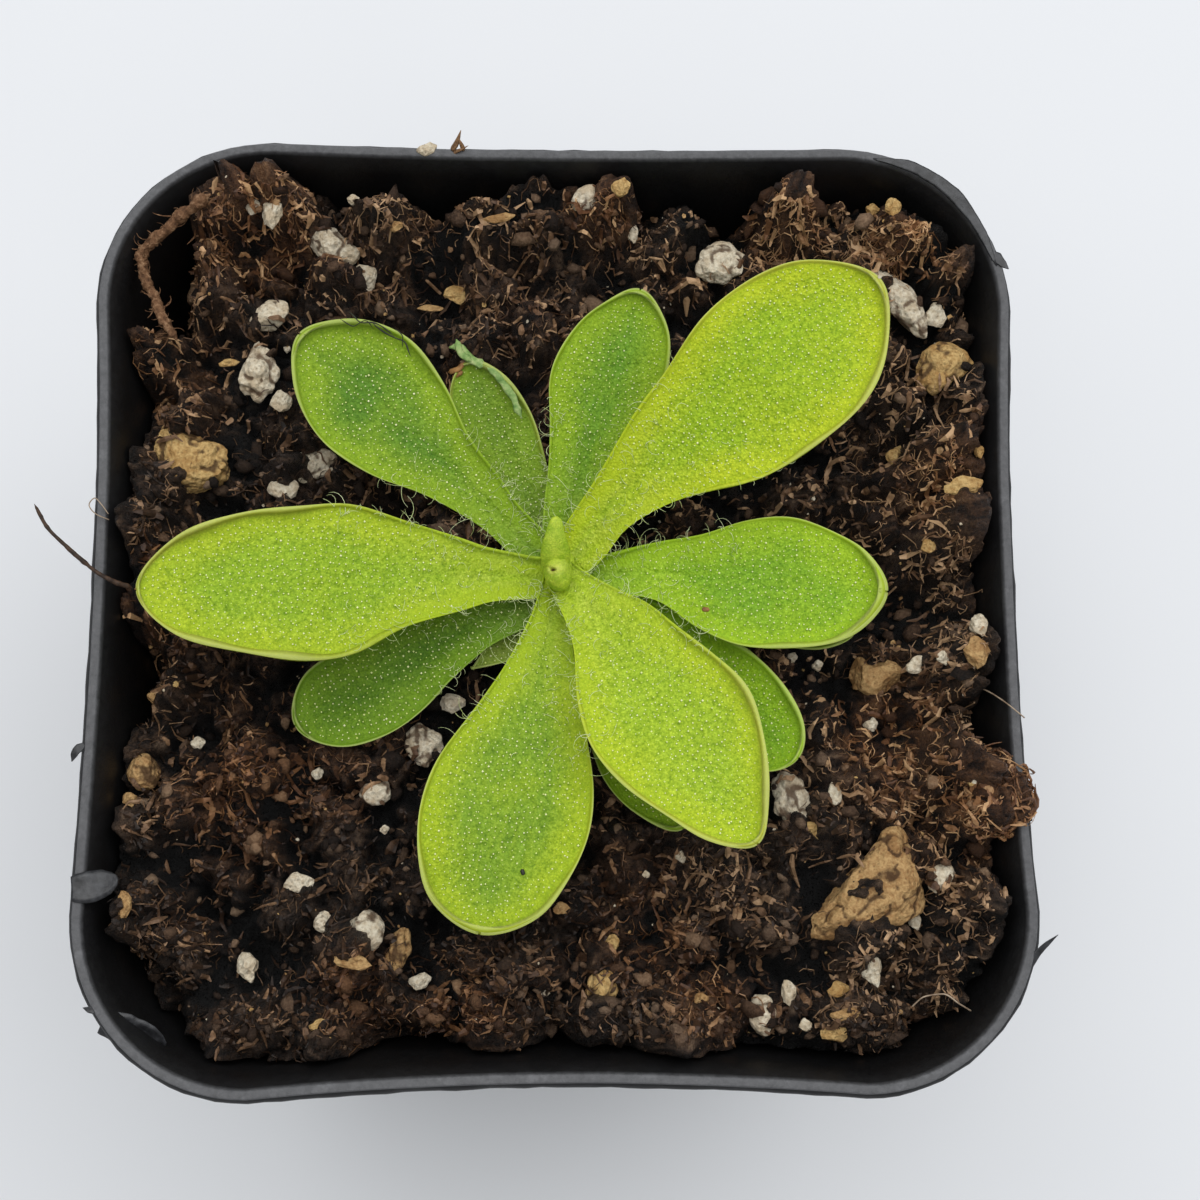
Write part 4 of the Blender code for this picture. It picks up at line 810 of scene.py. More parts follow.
class Shader:
    """Small helper that builds a material's nodes."""

    def __init__(self, name, roughness=0.6, specular=0.5):
        self.material = bpy.data.materials.new(name)
        self.material.use_nodes = True
        self.nodes = self.material.node_tree.nodes
        self.links = self.material.node_tree.links
        self.main = self.nodes["Principled BSDF"]
        self.main.inputs["Roughness"].default_value = roughness
        self.main.inputs["Specular IOR Level"].default_value = specular
        self.place = self.nodes.new("ShaderNodeTexCoord").outputs["Object"]

    def value(self, label):
        """Value stored on the mesh."""
        node = self.nodes.new("ShaderNodeAttribute")
        node.attribute_name = label
        return node.outputs["Fac"]

    def noise(self, size, detail=4.0, roughness=0.55, stretch=None):
        """Noise whose main features have a size in millimetres."""
        node = self.nodes.new("ShaderNodeTexNoise")
        node.inputs["Scale"].default_value = 1000.0 / size
        node.inputs["Detail"].default_value = detail
        node.inputs["Roughness"].default_value = roughness
        source = self.place
        if stretch:
            mapping = self.nodes.new("ShaderNodeMapping")
            mapping.inputs["Scale"].default_value = stretch
            self.links.new(self.place, mapping.inputs["Vector"])
            source = mapping.outputs["Vector"]
        self.links.new(source, node.inputs["Vector"])
        return node.outputs["Fac"]

    def leaf_noise(self, size, stretch):
        """Noise drawn out along the leaf."""
        place = self.nodes.new("ShaderNodeCombineXYZ")
        self.links.new(self.math("MULTIPLY", self.value("run"), stretch), place.inputs["X"])
        self.links.new(self.value("side"), place.inputs["Y"])
        node = self.nodes.new("ShaderNodeTexNoise")
        node.inputs["Scale"].default_value = 1.0 / size
        node.inputs["Detail"].default_value = 4.0
        self.links.new(place.outputs["Vector"], node.inputs["Vector"])
        return node.outputs["Fac"]

    def cells(self, size, feature="F1"):
        """Cell pattern with a size in millimetres."""
        node = self.nodes.new("ShaderNodeTexVoronoi")
        node.feature = feature
        node.inputs["Scale"].default_value = 1000.0 / size
        self.links.new(self.place, node.inputs["Vector"])
        return node.outputs["Distance"]

    def ramp(self, source, stops):
        """Colour ramp; stops are (position, colour)."""
        node = self.nodes.new("ShaderNodeValToRGB")
        elements = node.color_ramp.elements
        while len(elements) < len(stops):
            elements.new(0.5)
        for element, (position, color) in zip(elements, stops):
            element.position = position
            element.color = (*color, 1.0)
        self.links.new(source, node.inputs["Fac"])
        return node.outputs["Color"]

    def remap(self, source, low, high, to_low=0.0, to_high=1.0):
        """Clamped change of range."""
        node = self.nodes.new("ShaderNodeMapRange")
        node.inputs["From Min"].default_value = low
        node.inputs["From Max"].default_value = high
        node.inputs["To Min"].default_value = to_low
        node.inputs["To Max"].default_value = to_high
        self.links.new(source, node.inputs["Value"])
        return node.outputs["Result"]

    def math(self, operation, first, second):
        """One arithmetic step."""
        node = self.nodes.new("ShaderNodeMath")
        node.operation = operation
        for socket, item in zip(node.inputs, (first, second)):
            if isinstance(item, (int, float)):
                socket.default_value = item
            else:
                self.links.new(item, socket)
        return node.outputs["Value"]

    def mix(self, factor, first, second, blend="MIX"):
        """Mix of two colours."""
        node = self.nodes.new("ShaderNodeMix")
        node.data_type = "RGBA"
        node.blend_type = blend
        if isinstance(factor, (int, float)):
            node.inputs["Factor"].default_value = factor
        else:
            self.links.new(factor, node.inputs["Factor"])
        for socket, item in zip((node.inputs[6], node.inputs[7]), (first, second)):
            if isinstance(item, tuple):
                socket.default_value = (*item, 1.0)
            else:
                self.links.new(item, socket)
        return node.outputs[2]

    def color(self, source):
        """Set the base colour."""
        self.links.new(source, self.main.inputs["Base Color"])

    def rough(self, source):
        """Set a varying roughness."""
        self.links.new(source, self.main.inputs["Roughness"])

    def flesh(self, scale):
        """Light that passes through soft green tissue, with a scale in millimetres."""
        self.main.inputs["Subsurface Weight"].default_value = FLESH_WEIGHT
        self.main.inputs["Subsurface Radius"].default_value = FLESH_RADIUS
        self.main.inputs["Subsurface Scale"].default_value = scale * MM

    def bump(self, source, depth, strength=1.0):
        """Fine relief with a depth in millimetres."""
        node = self.nodes.new("ShaderNodeBump")
        node.inputs["Distance"].default_value = depth * MM
        node.inputs["Strength"].default_value = strength
        self.links.new(source, node.inputs["Height"])
        self.links.new(node.outputs["Normal"], self.main.inputs["Normal"])


def mottled(name):
    """Material with mottled colours and, where the look has one, a fine relief."""
    roughness, specular, grain, stops, relief = MOTTLED[name]
    shader = Shader(name, roughness=roughness, specular=specular)
    tone = shader.noise(*grain)
    shader.color(shader.ramp(tone, stops))
    if relief:
        shader.bump(tone, *relief)
    return shader.material


def side_bow(x, y, half_x, half_y):
    """Inward bow of the four sides at one point of the outline."""
    along_y = max(0.0, 1.0 - (y / (half_y - CORNER_RADIUS)) ** 2)
    along_x = max(0.0, 1.0 - (x / (half_x - CORNER_RADIUS)) ** 2)
    shift_x = 0.0
    shift_y = 0.0
    if abs(x) > 0.8 * half_x:
        shift_x = (BOW_LEFT if x < 0 else -BOW_RIGHT) * along_y
    if abs(y) > 0.8 * half_y:
        shift_y = (BOW_NEAR if y < 0 else -BOW_FAR) * along_x
    return shift_x, shift_y


def outline(inset, z, corner_steps=18, side_steps=36):
    """Rounded-square outline of the pot wall at a height, moved inward by inset."""
    drop = (RIM_Z - z) * TAPER
    half_x = POT_HALF_X - drop
    half_y = POT_HALF_Y - drop
    share = (RIM_Z - z) / RIM_Z
    radius = CORNER_RADIUS + (CORNER_RADIUS_FOOT - CORNER_RADIUS) * share - inset
    points = []
    corners = ((1, 1, 0), (-1, 1, 90), (-1, -1, 180), (1, -1, 270))
    for index, (sign_x, sign_y, start) in enumerate(corners):
        centre_x = sign_x * (half_x - inset - radius)
        centre_y = sign_y * (half_y - inset - radius)
        for step in range(corner_steps + 1):
            angle = math.radians(start + 90.0 * step / corner_steps)
            points.append((centre_x + radius * math.cos(angle), centre_y + radius * math.sin(angle)))
        following = corners[(index + 1) % 4]
        next_x = following[0] * (half_x - inset - radius)
        next_y = following[1] * (half_y - inset - radius)
        angle = math.radians(start + 90.0)
        begin = points[-1]
        end = (next_x + radius * math.cos(angle), next_y + radius * math.sin(angle))
        for step in range(1, side_steps):
            part = step / side_steps
            points.append((begin[0] + (end[0] - begin[0]) * part, begin[1] + (end[1] - begin[1]) * part))
    bowed = []
    for x, y in points:
        shift_x, shift_y = side_bow(x, y, half_x, half_y)
        bowed.append((x + shift_x * (1.0 - share), y + shift_y * (1.0 - share), z))
    return np.array(bowed)


class Wall:
    """Reach of the pot's inside from its axis in each direction."""

    def __init__(self):
        ring = outline(INNER + GAP, RIM_Z + SOIL_TOP)
        angle = np.arctan2(ring[:, 1], ring[:, 0])
        order = np.argsort(angle)
        self.angle = angle[order]
        self.reach = np.hypot(ring[order, 0], ring[order, 1])

    def at(self, angle, z):
        """Reach at an angle and a height."""
        reach = np.interp(angle, self.angle, self.reach, period=2.0 * math.pi)
        return reach + (z - RIM_Z - SOIL_TOP) * TAPER

    def inside(self, x, y, z, margin):
        """Whether each point lies inside the wall."""
        return np.hypot(x, y) < self.at(np.arctan2(y, x), z) - margin


def pot_material():
    """Thin black plastic: nearly black walls, and a greyer rim that is scuffed and carries a painted sheen of
    sky light on its top.
    """
    shader = Shader("pot_plastic", roughness=0.42, specular=0.35)
    scuff = shader.noise(0.7, detail=9.0, roughness=0.75)
    scratch = shader.noise(1.6, detail=8.0, roughness=0.7)
    cloud = shader.noise(9.0, detail=3.0)
    wall = shader.ramp(cloud, ((0.3, (0.0035, 0.0035, 0.0038)), (0.75, (0.008, 0.0078, 0.008))))
    # greyer rim colour: scuff grain and light scratches plus a painted sheen of sky light, laid on where the
    # rim value is high
    wear_and_sheen = shader.ramp(scuff, ((0.3, (0.045, 0.045, 0.048)), (0.7, (0.115, 0.115, 0.120))))
    bright = shader.remap(scratch, 0.55, 0.72, 0.0, 0.5)
    wear_and_sheen = shader.mix(bright, wear_and_sheen, (0.19, 0.19, 0.20))
    shader.color(shader.mix(shader.value("rim"), wall, wear_and_sheen))
    shader.rough(shader.remap(scuff, 0.25, 0.75, 0.30, 0.55))
    shader.bump(scuff, 0.08, 0.7)
    return shader.material


def make_pot():
    """Pot with a stepped rim, ragged flash on the lip and four drain holes."""
    rings = []
    shine = []
    for index, (inset, z, bright) in enumerate(POT_PROFILE):
        ring = outline(inset, z)
        outward = unit_rows(ring[:, :2])
        spots = flat_spots(ring[:, 0], ring[:, 1])
        near_rim = np.clip((z - SWAY_FROM) / (RIM_Z - SWAY_FROM), 0.0, 1.0)
        sway = 0.10 * near_rim * smooth_noise(spots, 14.0, 5)
        if index in FLASH_RINGS:
            sway = sway + 0.11 * np.abs(layered_noise(spots, 1.6, 11, 3)) - 0.05
        if index in UNEVEN_RINGS:
            ring[:, 2] += 0.05 * smooth_noise(spots, 2.2, 17)
        ring[:, :2] += outward * sway[:, None]
        rings.append(ring)
        shine.append(np.full(len(ring), bright))
    points = np.concatenate(rings)
    points[:, 2] = np.clip(points[:, 2], 0.0, RIM_Z + 0.1)
    faces = ring_faces(len(rings[0]), len(rings))
    # rim value: where the scuffed rim colour with its painted sheen goes
    piece = make_piece("pot_body", points, faces, pot_material(), {"rim": np.concatenate(shine)})
    drill_drains(piece)
    shade_by_angle(piece, SHARP_DEGREES)
    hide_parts("pot")


def drill_drains(piece):
    """Cut the four round drain holes through the floor."""
    for sign_x in (-1, 1):
        for sign_y in (-1, 1):
            bpy.ops.mesh.primitive_cylinder_add(
                vertices=40, radius=DRAIN_RADIUS * MM, depth=DRILL_DEPTH * MM,
                location=(sign_x * DRAIN_PLACE * MM, sign_y * DRAIN_PLACE * MM, 0.0))
            drill = bpy.context.object
            modifier = piece.modifiers.new("drain", "BOOLEAN")
            modifier.operation = "DIFFERENCE"
            modifier.solver = "EXACT"
            modifier.object = drill
            graph = bpy.context.evaluated_depsgraph_get()
            cut = bpy.data.meshes.new_from_object(piece.evaluated_get(graph))
            piece.modifiers.clear()
            piece.data = cut
            bpy.data.objects.remove(drill, do_unlink=True)


def shade_by_angle(piece, degrees):
    """Keep real corners sharp under smooth shading."""
    work = bmesh.new()
    work.from_mesh(piece.data)
    limit = math.radians(degrees)
    for edge in work.edges:
        edge.smooth = len(edge.link_faces) == 2 and edge.calc_face_angle(0.0) < limit
    work.to_mesh(piece.data)
    work.free()


def scrap_sheet(path, width, lean, shape):
    """Thin strip along a route, as points and faces."""
    route = smooth_path(path, SCRAP_ROWS)
    ahead = unit_rows(np.gradient(route, axis=0))
    aside = unit_rows(flat_spots(-ahead[:, 1], ahead[:, 0]))
    tilt = math.radians(lean)
    aside = aside * math.cos(tilt) + np.array([0.0, 0.0, 1.0]) * math.sin(tilt)
    wide = np.interp(np.linspace(0.0, 1.0, SCRAP_ROWS), *zip(*shape)) * width
    wide *= 1.0 + 0.12 * smooth_noise(route, 0.8, 31)
    steps = np.linspace(-0.5, 0.5, SCRAP_COLUMNS)
    grid = route[:, None, :] + aside[:, None, :] * (steps[None, :] * wide[:, None])[..., None]
    sheet = grid.reshape(-1, 3)
    sheet[:, 2] += 0.10 * smooth_noise(sheet, 1.2, 37)
    half = np.array([0.0, 0.0, SCRAP_HALF])
    return np.concatenate([sheet + half, sheet - half]), sheet_faces(SCRAP_ROWS, SCRAP_COLUMNS)


def make_scraps():
    """Trimming strips on the rim's outer edge and loose film inside it."""
    points, faces = joined([scrap_sheet(*scrap) for scrap in RIM_SCRAPS])
    make_piece("rim_scraps", points, faces, mottled("pot_film"))


def make_rim_bits(materials):
    """Cream chip and brown shreds that lie on the far rim."""
    shape, faces = stone_shapes(3, 3, 0.66)[1]
    local = shape * np.array(CHIP_SIZE)
    x, y = turned(local[:, 0], local[:, 1], math.radians(CHIP_TURN), CHIP_PLACE)
    points = np.column_stack([x, y, CHIP_PLACE[2] + local[:, 2]])
    cleft = np.clip(1.1 - np.linalg.norm(shape, axis=1), 0, 1)
    make_piece("rim_chip", points, faces, materials["pale"], {"cleft": cleft})
    shreds = np.array([smooth_path(route, len(SHRED_PROFILE)) for route in RIM_SHREDS])
    radii = np.array(SHRED_WIDTHS)[:, None] * np.array(SHRED_PROFILE)[None, :]
    points, faces = tube_mesh(shreds, radii, 6, 0.5)
    make_piece("rim_shreds", points, faces, mottled("shred_brown"))


class LeafForm:
    """Outline and height of one leaf, worked out from its stations."""

    def __init__(self, leaf):
        self.leaf = leaf
        self.base = leaf["stations"][0][0]
        self.outline = self.soften(self.plain_outline())
        tip = int(self.outline[:, 0].argmax())
        self.right = self.outline[:tip + 1]
        self.left = self.outline[tip:][::-1]

    def plain_outline(self):
        """Outline through the stations, from the right base round the tip to the left base."""
        stations = np.array(self.leaf["stations"])
        right = stations[:, (0, 2)]
        left = stations[::-1, :2]
        middle = self.leaf.get("tip_side", 0.5 * (stations[-1, 1] + stations[-1, 2]))
        corners = np.concatenate([right, [(self.leaf["tip"], middle)], left])
        return corners if self.leaf.get("pointed") else spline_through(corners, 14)

    def soften(self, raw):
        """Even spacing and rounded corners, grown outward where the leaf asks for it."""
        lengths = lengths_along(raw)
        at = np.linspace(0.0, lengths[-1], OUTLINE_POINTS)
        plain = np.column_stack([np.interp(at, lengths, raw[:, axis]) for axis in (0, 1)])
        width = OUTLINE_SOFTNESS * self.leaf.get("soft", 1.0)
        reach = int(round(3.0 * width / at[1]))
        weight = np.exp(-0.5 * (np.arange(-reach, reach + 1) * at[1] / width) ** 2)
        weight /= weight.sum()
        before = 2.0 * plain[0] - plain[reach:0:-1]
        after = 2.0 * plain[-1] - plain[-2:-reach - 2:-1]
        padded = np.concatenate([before, plain, after])
        soft = np.column_stack([np.convolve(padded[:, axis], weight, mode="valid") for axis in (0, 1)])
        ahead = unit_rows(np.gradient(soft, axis=0))
        outward = np.column_stack([ahead[:, 1], -ahead[:, 0]])
        return soft + self.leaf.get("grow", 0.0) * outward

    def plan(self, along, across):
        """Plan places on the rungs between the right and the left edge."""
        sides = []
        for edge in (self.right, self.left):
            run = lengths_along(edge)
            run /= run[-1]
            sides.append(np.column_stack([np.interp(along, run, edge[:, axis]) for axis in (0, 1)]))
        part = 0.5 * (across + 1.0)[:, None]
        return sides[0] + (sides[1] - sides[0]) * part

    def grid(self, rows, columns):
        """Plan places of a grid with many columns close to the margins."""
        along = 0.997 * (1.0 - (1.0 - np.linspace(0, 1, rows)) ** 1.6)
        ends = self.plan(np.tile(along, 2), np.repeat([-1.0, 1.0], rows)).reshape(2, rows, 2)
        half = 0.5 * np.linalg.norm(ends[1] - ends[0], axis=1)
        zone = np.minimum(MARGIN_ZONE / np.maximum(half, 0.01), 0.55)
        steps = np.linspace(-1, 1, columns)
        inner = 1.0 - 2.0 * MARGIN_COLUMNS / (columns - 1)
        share = np.where(
            np.abs(steps)[None, :] < inner, np.abs(steps)[None, :] / inner * (1.0 - zone)[:, None],
            1.0 - (1.0 - np.abs(steps))[None, :] / (1.0 - inner) * zone[:, None])
        across = np.sign(steps)[None, :] * share
        along = np.tile(along[:, None], (1, columns))
        return self.plan(along.ravel(), across.ravel()), along.ravel(), across.ravel()

    def roll_width(self, plan):
        """Width of the rolled margin nearest to each place."""
        table = np.array(self.leaf["roll"])
        left = np.interp(plan[:, 0], table[:, 0], table[:, 1])
        right = np.interp(plan[:, 0], table[:, 0], table[:, 2])
        to_left = np.clip(0.5 + plan[:, 1] * 0.5, 0.0, 1.0)
        wave = 1.0 + 0.16 * np.sin(plan[:, 0] * 0.9 + self.leaf["angle"])
        return (left * to_left + right * (1.0 - to_left)) * wave

    def surface(self, plan):
        """Points of the upper face over plan places, the roll share, margin distance and skin."""
        leaf = self.leaf
        heights = np.array(leaf["heights"])
        gap, toward = nearest_on_line(plan, self.outline)
        grow = np.clip((plan[:, 0] - self.base) / 8.0, 0.0, 1.0)
        height = interpolate(heights[:, 0], heights[:, 1], plan[:, 0])
        height += leaf["cup"] * (0.35 + 0.65 * grow) * np.clip(1.0 - gap / 4.5, 0.0, 1.0) ** 2
        height += 0.22 * grow * np.sin(plan[:, 0] * 0.6 + leaf["angle"]) * np.clip(plan[:, 1] / 6.0, -1, 1)
        width = self.roll_width(plan)
        skin = 0.10 + 0.16 * width
        share = np.clip(1.0 - gap / width, 0.0, 1.0)
        bend = math.radians(ROLL_TURN) * share
        inner = width - skin
        move = inner * np.sin(bend) - (width - np.minimum(gap, width))
        moved = plan + toward * move[:, None]
        height += np.maximum(0.42 * width, 0.12) * (1.0 - np.cos(bend))
        x, y = turned(moved[:, 0], moved[:, 1], math.radians(leaf["angle"]), (CROWN_X, CROWN_Y))
        return np.column_stack([x, y, RIM_Z + height]), share, gap, skin


def nearest_on_line(points, line):
    """Distance and direction to the spot of a line nearest to each point."""
    start = line[:-1]
    step = line[1:] - start
    length = np.maximum((step ** 2).sum(1), 1e-12)
    offset = points[:, None, :] - start[None, :, :]
    share = np.clip((offset * step[None]).sum(2) / length[None], 0.0, 1.0)
    foot = start[None] + share[..., None] * step[None]
    gap = np.linalg.norm(points[:, None, :] - foot, axis=2)
    pick = gap.argmin(1)
    rows = np.arange(len(points))
    best = gap[rows, pick]
    return best, (foot[rows, pick] - points) / np.maximum(best, 1e-6)[:, None]


def surface_normals(points):
    """Unit normals of a grid of points, facing up."""
    normal = np.cross(np.gradient(points, axis=0), np.gradient(points, axis=1))
    return normal / np.maximum(np.linalg.norm(normal, axis=-1), 1e-9)[..., None]


def blade_color(shader, leaf, broad):
    """Colour of the open blade, darker in the middle and greyer towards the stem, where the grey is partly
    the petiole's translucent tissue and partly a painted sheen.
    """
    dark, light = leaf["dark"], leaf["light"]
    streak = shader.leaf_noise(0.7, 0.2)
    middle = shader.math("ADD", shader.value("middle"), shader.remap(broad, 0.3, 0.7, -0.35, 0.35))
    blade = shader.mix(shader.remap(middle, 0.05, 1.0), light, dark)
    # grey of the petiole: translucent tissue plus a painted sheen
    grey_sheen = tuple(0.55 * a + 0.45 * b for a, b in zip(light, (0.25, 0.33, 0.13)))
    base = shader.mix(shader.remap(streak, 0.36, 0.64), dark, grey_sheen)
    blade = shader.mix(shader.math("MULTIPLY", shader.value("petiole"), 0.75), blade, base)
    return shader.mix(shader.remap(streak, 0.45, 0.65, 0.0, 0.25), blade, light)


def margin_color(shader, leaf, broad, roll, far):
    """Colour of the rolled margin with its blush and its pale edge."""
    shade = tuple(0.72 * v for v in leaf["margin"])
    band = shader.mix(shader.remap(broad, 0.35, 0.65), leaf["margin"], shade)
    band = shader.mix(shader.math("MULTIPLY", shader.value("blush"), 0.65), band, (0.36, 0.27, 0.07))
    edge = shader.math("MULTIPLY", shader.remap(roll, 0.84, 0.97, 0.0, 0.65), far)
    return shader.mix(edge, band, (0.62, 0.66, 0.26))


def leaf_material(name, leaf):
    """Soft translucent leaf with a darker middle and a pale smooth margin."""
    shader = Shader(name + "_skin", roughness=0.5, specular=0.15)
    broad = shader.noise(4.5, detail=4.0)
    fine = shader.noise(0.42, detail=5.0, roughness=0.65)
    tiny = shader.noise(0.16, detail=3.0, roughness=0.6)
    grain = shader.cells(0.24)
    roll = shader.value("roll")
    spots = shader.ramp(fine, (
        (0.30, (0.58, 0.66, 0.45)), (0.50, (1.0, 1.0, 1.0)), (0.70, (1.36, 1.28, 1.9))))
    flecks = shader.ramp(tiny, ((0.34, (0.72, 0.77, 0.60)), (0.66, (1.26, 1.18, 1.55))))
    speckle = shader.ramp(grain, ((0.0, (1.25, 1.2, 1.3)), (0.40, (0.90, 0.91, 0.86))))
    blade = shader.mix(1.0, blade_color(shader, leaf, broad), spots, "MULTIPLY")
    blade = shader.mix(1.0, blade, flecks, "MULTIPLY")
    blade = shader.mix(0.7, blade, speckle, "MULTIPLY")
    far = shader.remap(shader.value("share"), 0.30, 0.62, 0.12, 1.0)
    band = margin_color(shader, leaf, broad, roll, far)
    blade = shader.mix(shader.math("MULTIPLY", shader.remap(roll, 0.12, 0.42), far), blade, band)
    near = shader.remap(shader.value("gap"), 1.9, 0.9, 0.0, 0.35)
    near = shader.math("ADD", near, shader.math("MULTIPLY", shader.value("fold"), 0.55))
    shader.color(shader.mix(near, blade, shader.mix(1.0, leaf["light"], speckle, "MULTIPLY")))
    shader.rough(shader.remap(fine, 0.3, 0.7, 0.40, 0.60))
    shader.flesh(0.7)
    relief = shader.math("ADD", shader.math("MULTIPLY", grain, 0.8), fine)
    relief = shader.math("MULTIPLY", relief, shader.remap(roll, 0.05, 0.4, 1.0, 0.15))
    shader.bump(relief, 0.16, 0.75)
    return shader.material


def leaf_values(leaf, plan, gap, share):
    """Values that a leaf's colours follow, for its upper and lower face."""
    run = plan[:, 0]
    length = leaf["tip"]
    blush = np.clip(1.7 * run / length - 0.6, 0.0, 1.0)
    fold = np.clip(2.0 - gap, 0.0, 1.0) * np.clip((0.52 - run / length) * 4.0, 0.0, 1.0)
    values = {
        "fold": fold * (np.sign(plan[:, 1]) == leaf.get("fold", 0.0)),
        "roll": share,
        "gap": gap,
        "petiole": np.clip(1.0 - (run - 1.0) / (0.40 * length), 0.0, 1.0) ** 1.1,
        "middle": np.clip((gap - 0.9) / 2.9, 0.0, 1.0) * np.clip(run / (0.35 * length), 0.0, 1.0),
        "blush": blush * np.where(plan[:, 1] > 0, leaf["blush"][0], leaf["blush"][1]),
        "share": run / length,
        "run": run,
        "side": plan[:, 1]}
    return {label: np.tile(value, 2) for label, value in values.items()}


def make_leaf(name, leaf):
    """One leaf with rolled margins that replaces its plain solid."""
    form = LeafForm(leaf)
    plan, along, across = form.grid(LEAF_ROWS, LEAF_COLUMNS)
    top, share, gap, skin = form.surface(plan)
    inside = np.clip((gap - 1.0) / 1.2, 0.0, 1.0)
    top[:, 2] += inside * (0.15 * smooth_noise(top, 3.6, 21) + 0.05 * smooth_noise(top, 1.1, 22))
    rib = np.exp(-(across / 0.15) ** 2) * np.clip(1.1 - along, 0.0, 1.0)
    top[:, 2] -= 0.16 * rib * np.clip(along * 6.0, 0.0, 1.0)
    normal = surface_normals(top.reshape(LEAF_ROWS, LEAF_COLUMNS, 3)).reshape(-1, 3)
    thick = skin + (BLADE - skin) * np.clip((gap - 1.0) / 1.6, 0.0, 1.0) ** 0.7
    thick *= 1.0 - 0.75 * np.clip((share - 0.86) / 0.14, 0.0, 1.0) ** 2
    points = np.concatenate([top, top - normal * thick[:, None]])
    piece = make_piece(name + "_blade", points, sheet_faces(LEAF_ROWS, LEAF_COLUMNS),
                       leaf_material(name, leaf), leaf_values(leaf, plan, gap, share))
    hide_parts(name)


def scatter(shape, faces, centres, sizes):
    """Copies of one small shape at many centres."""
    points = (shape[None] * sizes[:, None, None] + centres[:, None, :]).reshape(-1, 3)
    count = len(shape)
    offsets = (np.arange(len(centres)) * count).tolist()
    many = [tuple(v + o for v in face) for o in offsets for face in faces]
    return points, many


def gland_spots(leaf, draw):
    """Scattered places on the blade for the sticky glands."""
    form = LeafForm(leaf)
    run, side = np.meshgrid(
        np.arange(2.0, leaf["tip"], GLAND_PITCH), np.arange(-9.5, 9.5, GLAND_PITCH), indexing="ij")
    run = run + GLAND_PITCH * draw.uniform(-0.36, 0.36, run.shape)
    side = side + GLAND_PITCH * draw.uniform(-0.36, 0.36, side.shape)
    plan = np.column_stack([run.ravel(), side.ravel()])
    left = np.interp(plan[:, 0], form.left[:, 0], form.left[:, 1])
    right = np.interp(plan[:, 0], form.right[:, 0], form.right[:, 1])
    plan = plan[(plan[:, 1] < left) & (plan[:, 1] > right) & (plan[:, 0] < form.outline[:, 0].max())]
    points, _, gap, _ = form.surface(plan)
    share = plan[:, 0] / leaf["tip"]
    keep = gap > 0.9 * form.roll_width(plan) + 0.08
    keep &= draw.uniform(0, 1, len(gap)) < np.clip(share * 3.0 - 0.3, 0.12, 0.96)
    return points[keep]


def make_glands():
    """Sticky gland heads with droplets all over the blades, yellowish with a near-white painted glint."""
    draw = np.random.default_rng(41)
    centres = np.concatenate([gland_spots(leaf, draw) for leaf in LEAVES.values()])
    sizes = draw.uniform(0.055, 0.09, len(centres))
    sizes = sizes * (1.0 + 0.35 * (draw.uniform(0, 1, len(centres)) < 0.12))
    centres = centres + np.column_stack([np.zeros((len(centres), 2)), 0.02 + 0.5 * sizes])
    shape, faces = ball_shape(2, 4)
    points, many = scatter(shape, faces, centres, sizes)
    make_piece("gland_drops", points, many, mottled("gland_drop_glint"))


def hair_roots(draw, name, leaf):
    """Starting places and directions of one leaf's hairs."""
    form = LeafForm(leaf)
    count = HAIRS_PER_LEAF // 2 if name in HIDDEN_LEAVES else HAIRS_PER_LEAF
    along = 0.04 + 0.46 * draw.uniform(0.0, 1.0, count) ** 1.4
    side = draw.choice((-1.0, 1.0), count)
    on_edge = draw.uniform(0, 1, count) < 0.40
    across = side * np.where(on_edge, 0.985, draw.uniform(0.05, 0.95, count))
    points, _, _, _ = form.surface(form.plan(along, across))
    angle = math.radians(leaf["angle"])
    out = flat_spots(-math.sin(angle) * side, math.cos(angle) * side)
    ahead = np.tile([math.cos(angle), math.sin(angle), 0.0], (count, 1))
    heading = out * draw.uniform(0.2, 1.0, (count, 1)) + ahead * draw.uniform(-0.8, 0.5, (count, 1))
    heading[:, 2] = np.where(on_edge, draw.uniform(-0.1, 0.5, count), draw.uniform(0.3, 0.9, count))
    return points, unit_rows(heading)


def curl_paths(draw, start, heading, steps):
    """Paths that bend round like small hooks, mostly within the plane of the leaf."""
    count = len(start)
    path = np.zeros((count, steps, 3))
    path[:, 0] = start
    length = np.clip(draw.lognormal(math.log(1.15), 0.4, count), 0.5, 2.8)
    axis = draw.normal(0, 0.45, (count, 3))
    axis[:, 2] += draw.choice((-1.0, 1.0), count)
    axis = unit_rows(axis)
    turn = np.radians(draw.uniform(40.0, 215.0, count)) / (steps - 1)
    direction = heading.copy()
    for step in range(1, steps):
        path[:, step] = path[:, step - 1] + direction * (length / (steps - 1))[:, None]
        bend = turn * (0.5 + 1.0 * step / steps)
        bent = direction * np.cos(bend)[:, None] + np.cross(axis, direction) * np.sin(bend)[:, None]
        bent += axis * ((axis * direction).sum(1) * (1 - np.cos(bend)))[:, None]
        direction = unit_rows(bent)
        direction[:, 2] = np.maximum(direction[:, 2], -0.15)
    return path


def make_hairs():
    """Fine curly hairs on the leaf bases and along the petiole edges."""
    draw = np.random.default_rng(43)
    roots = [hair_roots(draw, name, leaf) for name, leaf in LEAVES.items()]
    starts = np.concatenate([places for places, _ in roots])
    headings = np.concatenate([heading for _, heading in roots])
    path = curl_paths(draw, starts, headings, len(HAIR_PROFILE))
    radii = np.array(HAIR_PROFILE)[None, :] * draw.uniform(0.018, 0.030, (len(path), 1))
    points, faces = tube_mesh(path, radii, 3)
    make_piece("leaf_hairs", points, faces, mottled("hair_pale"))


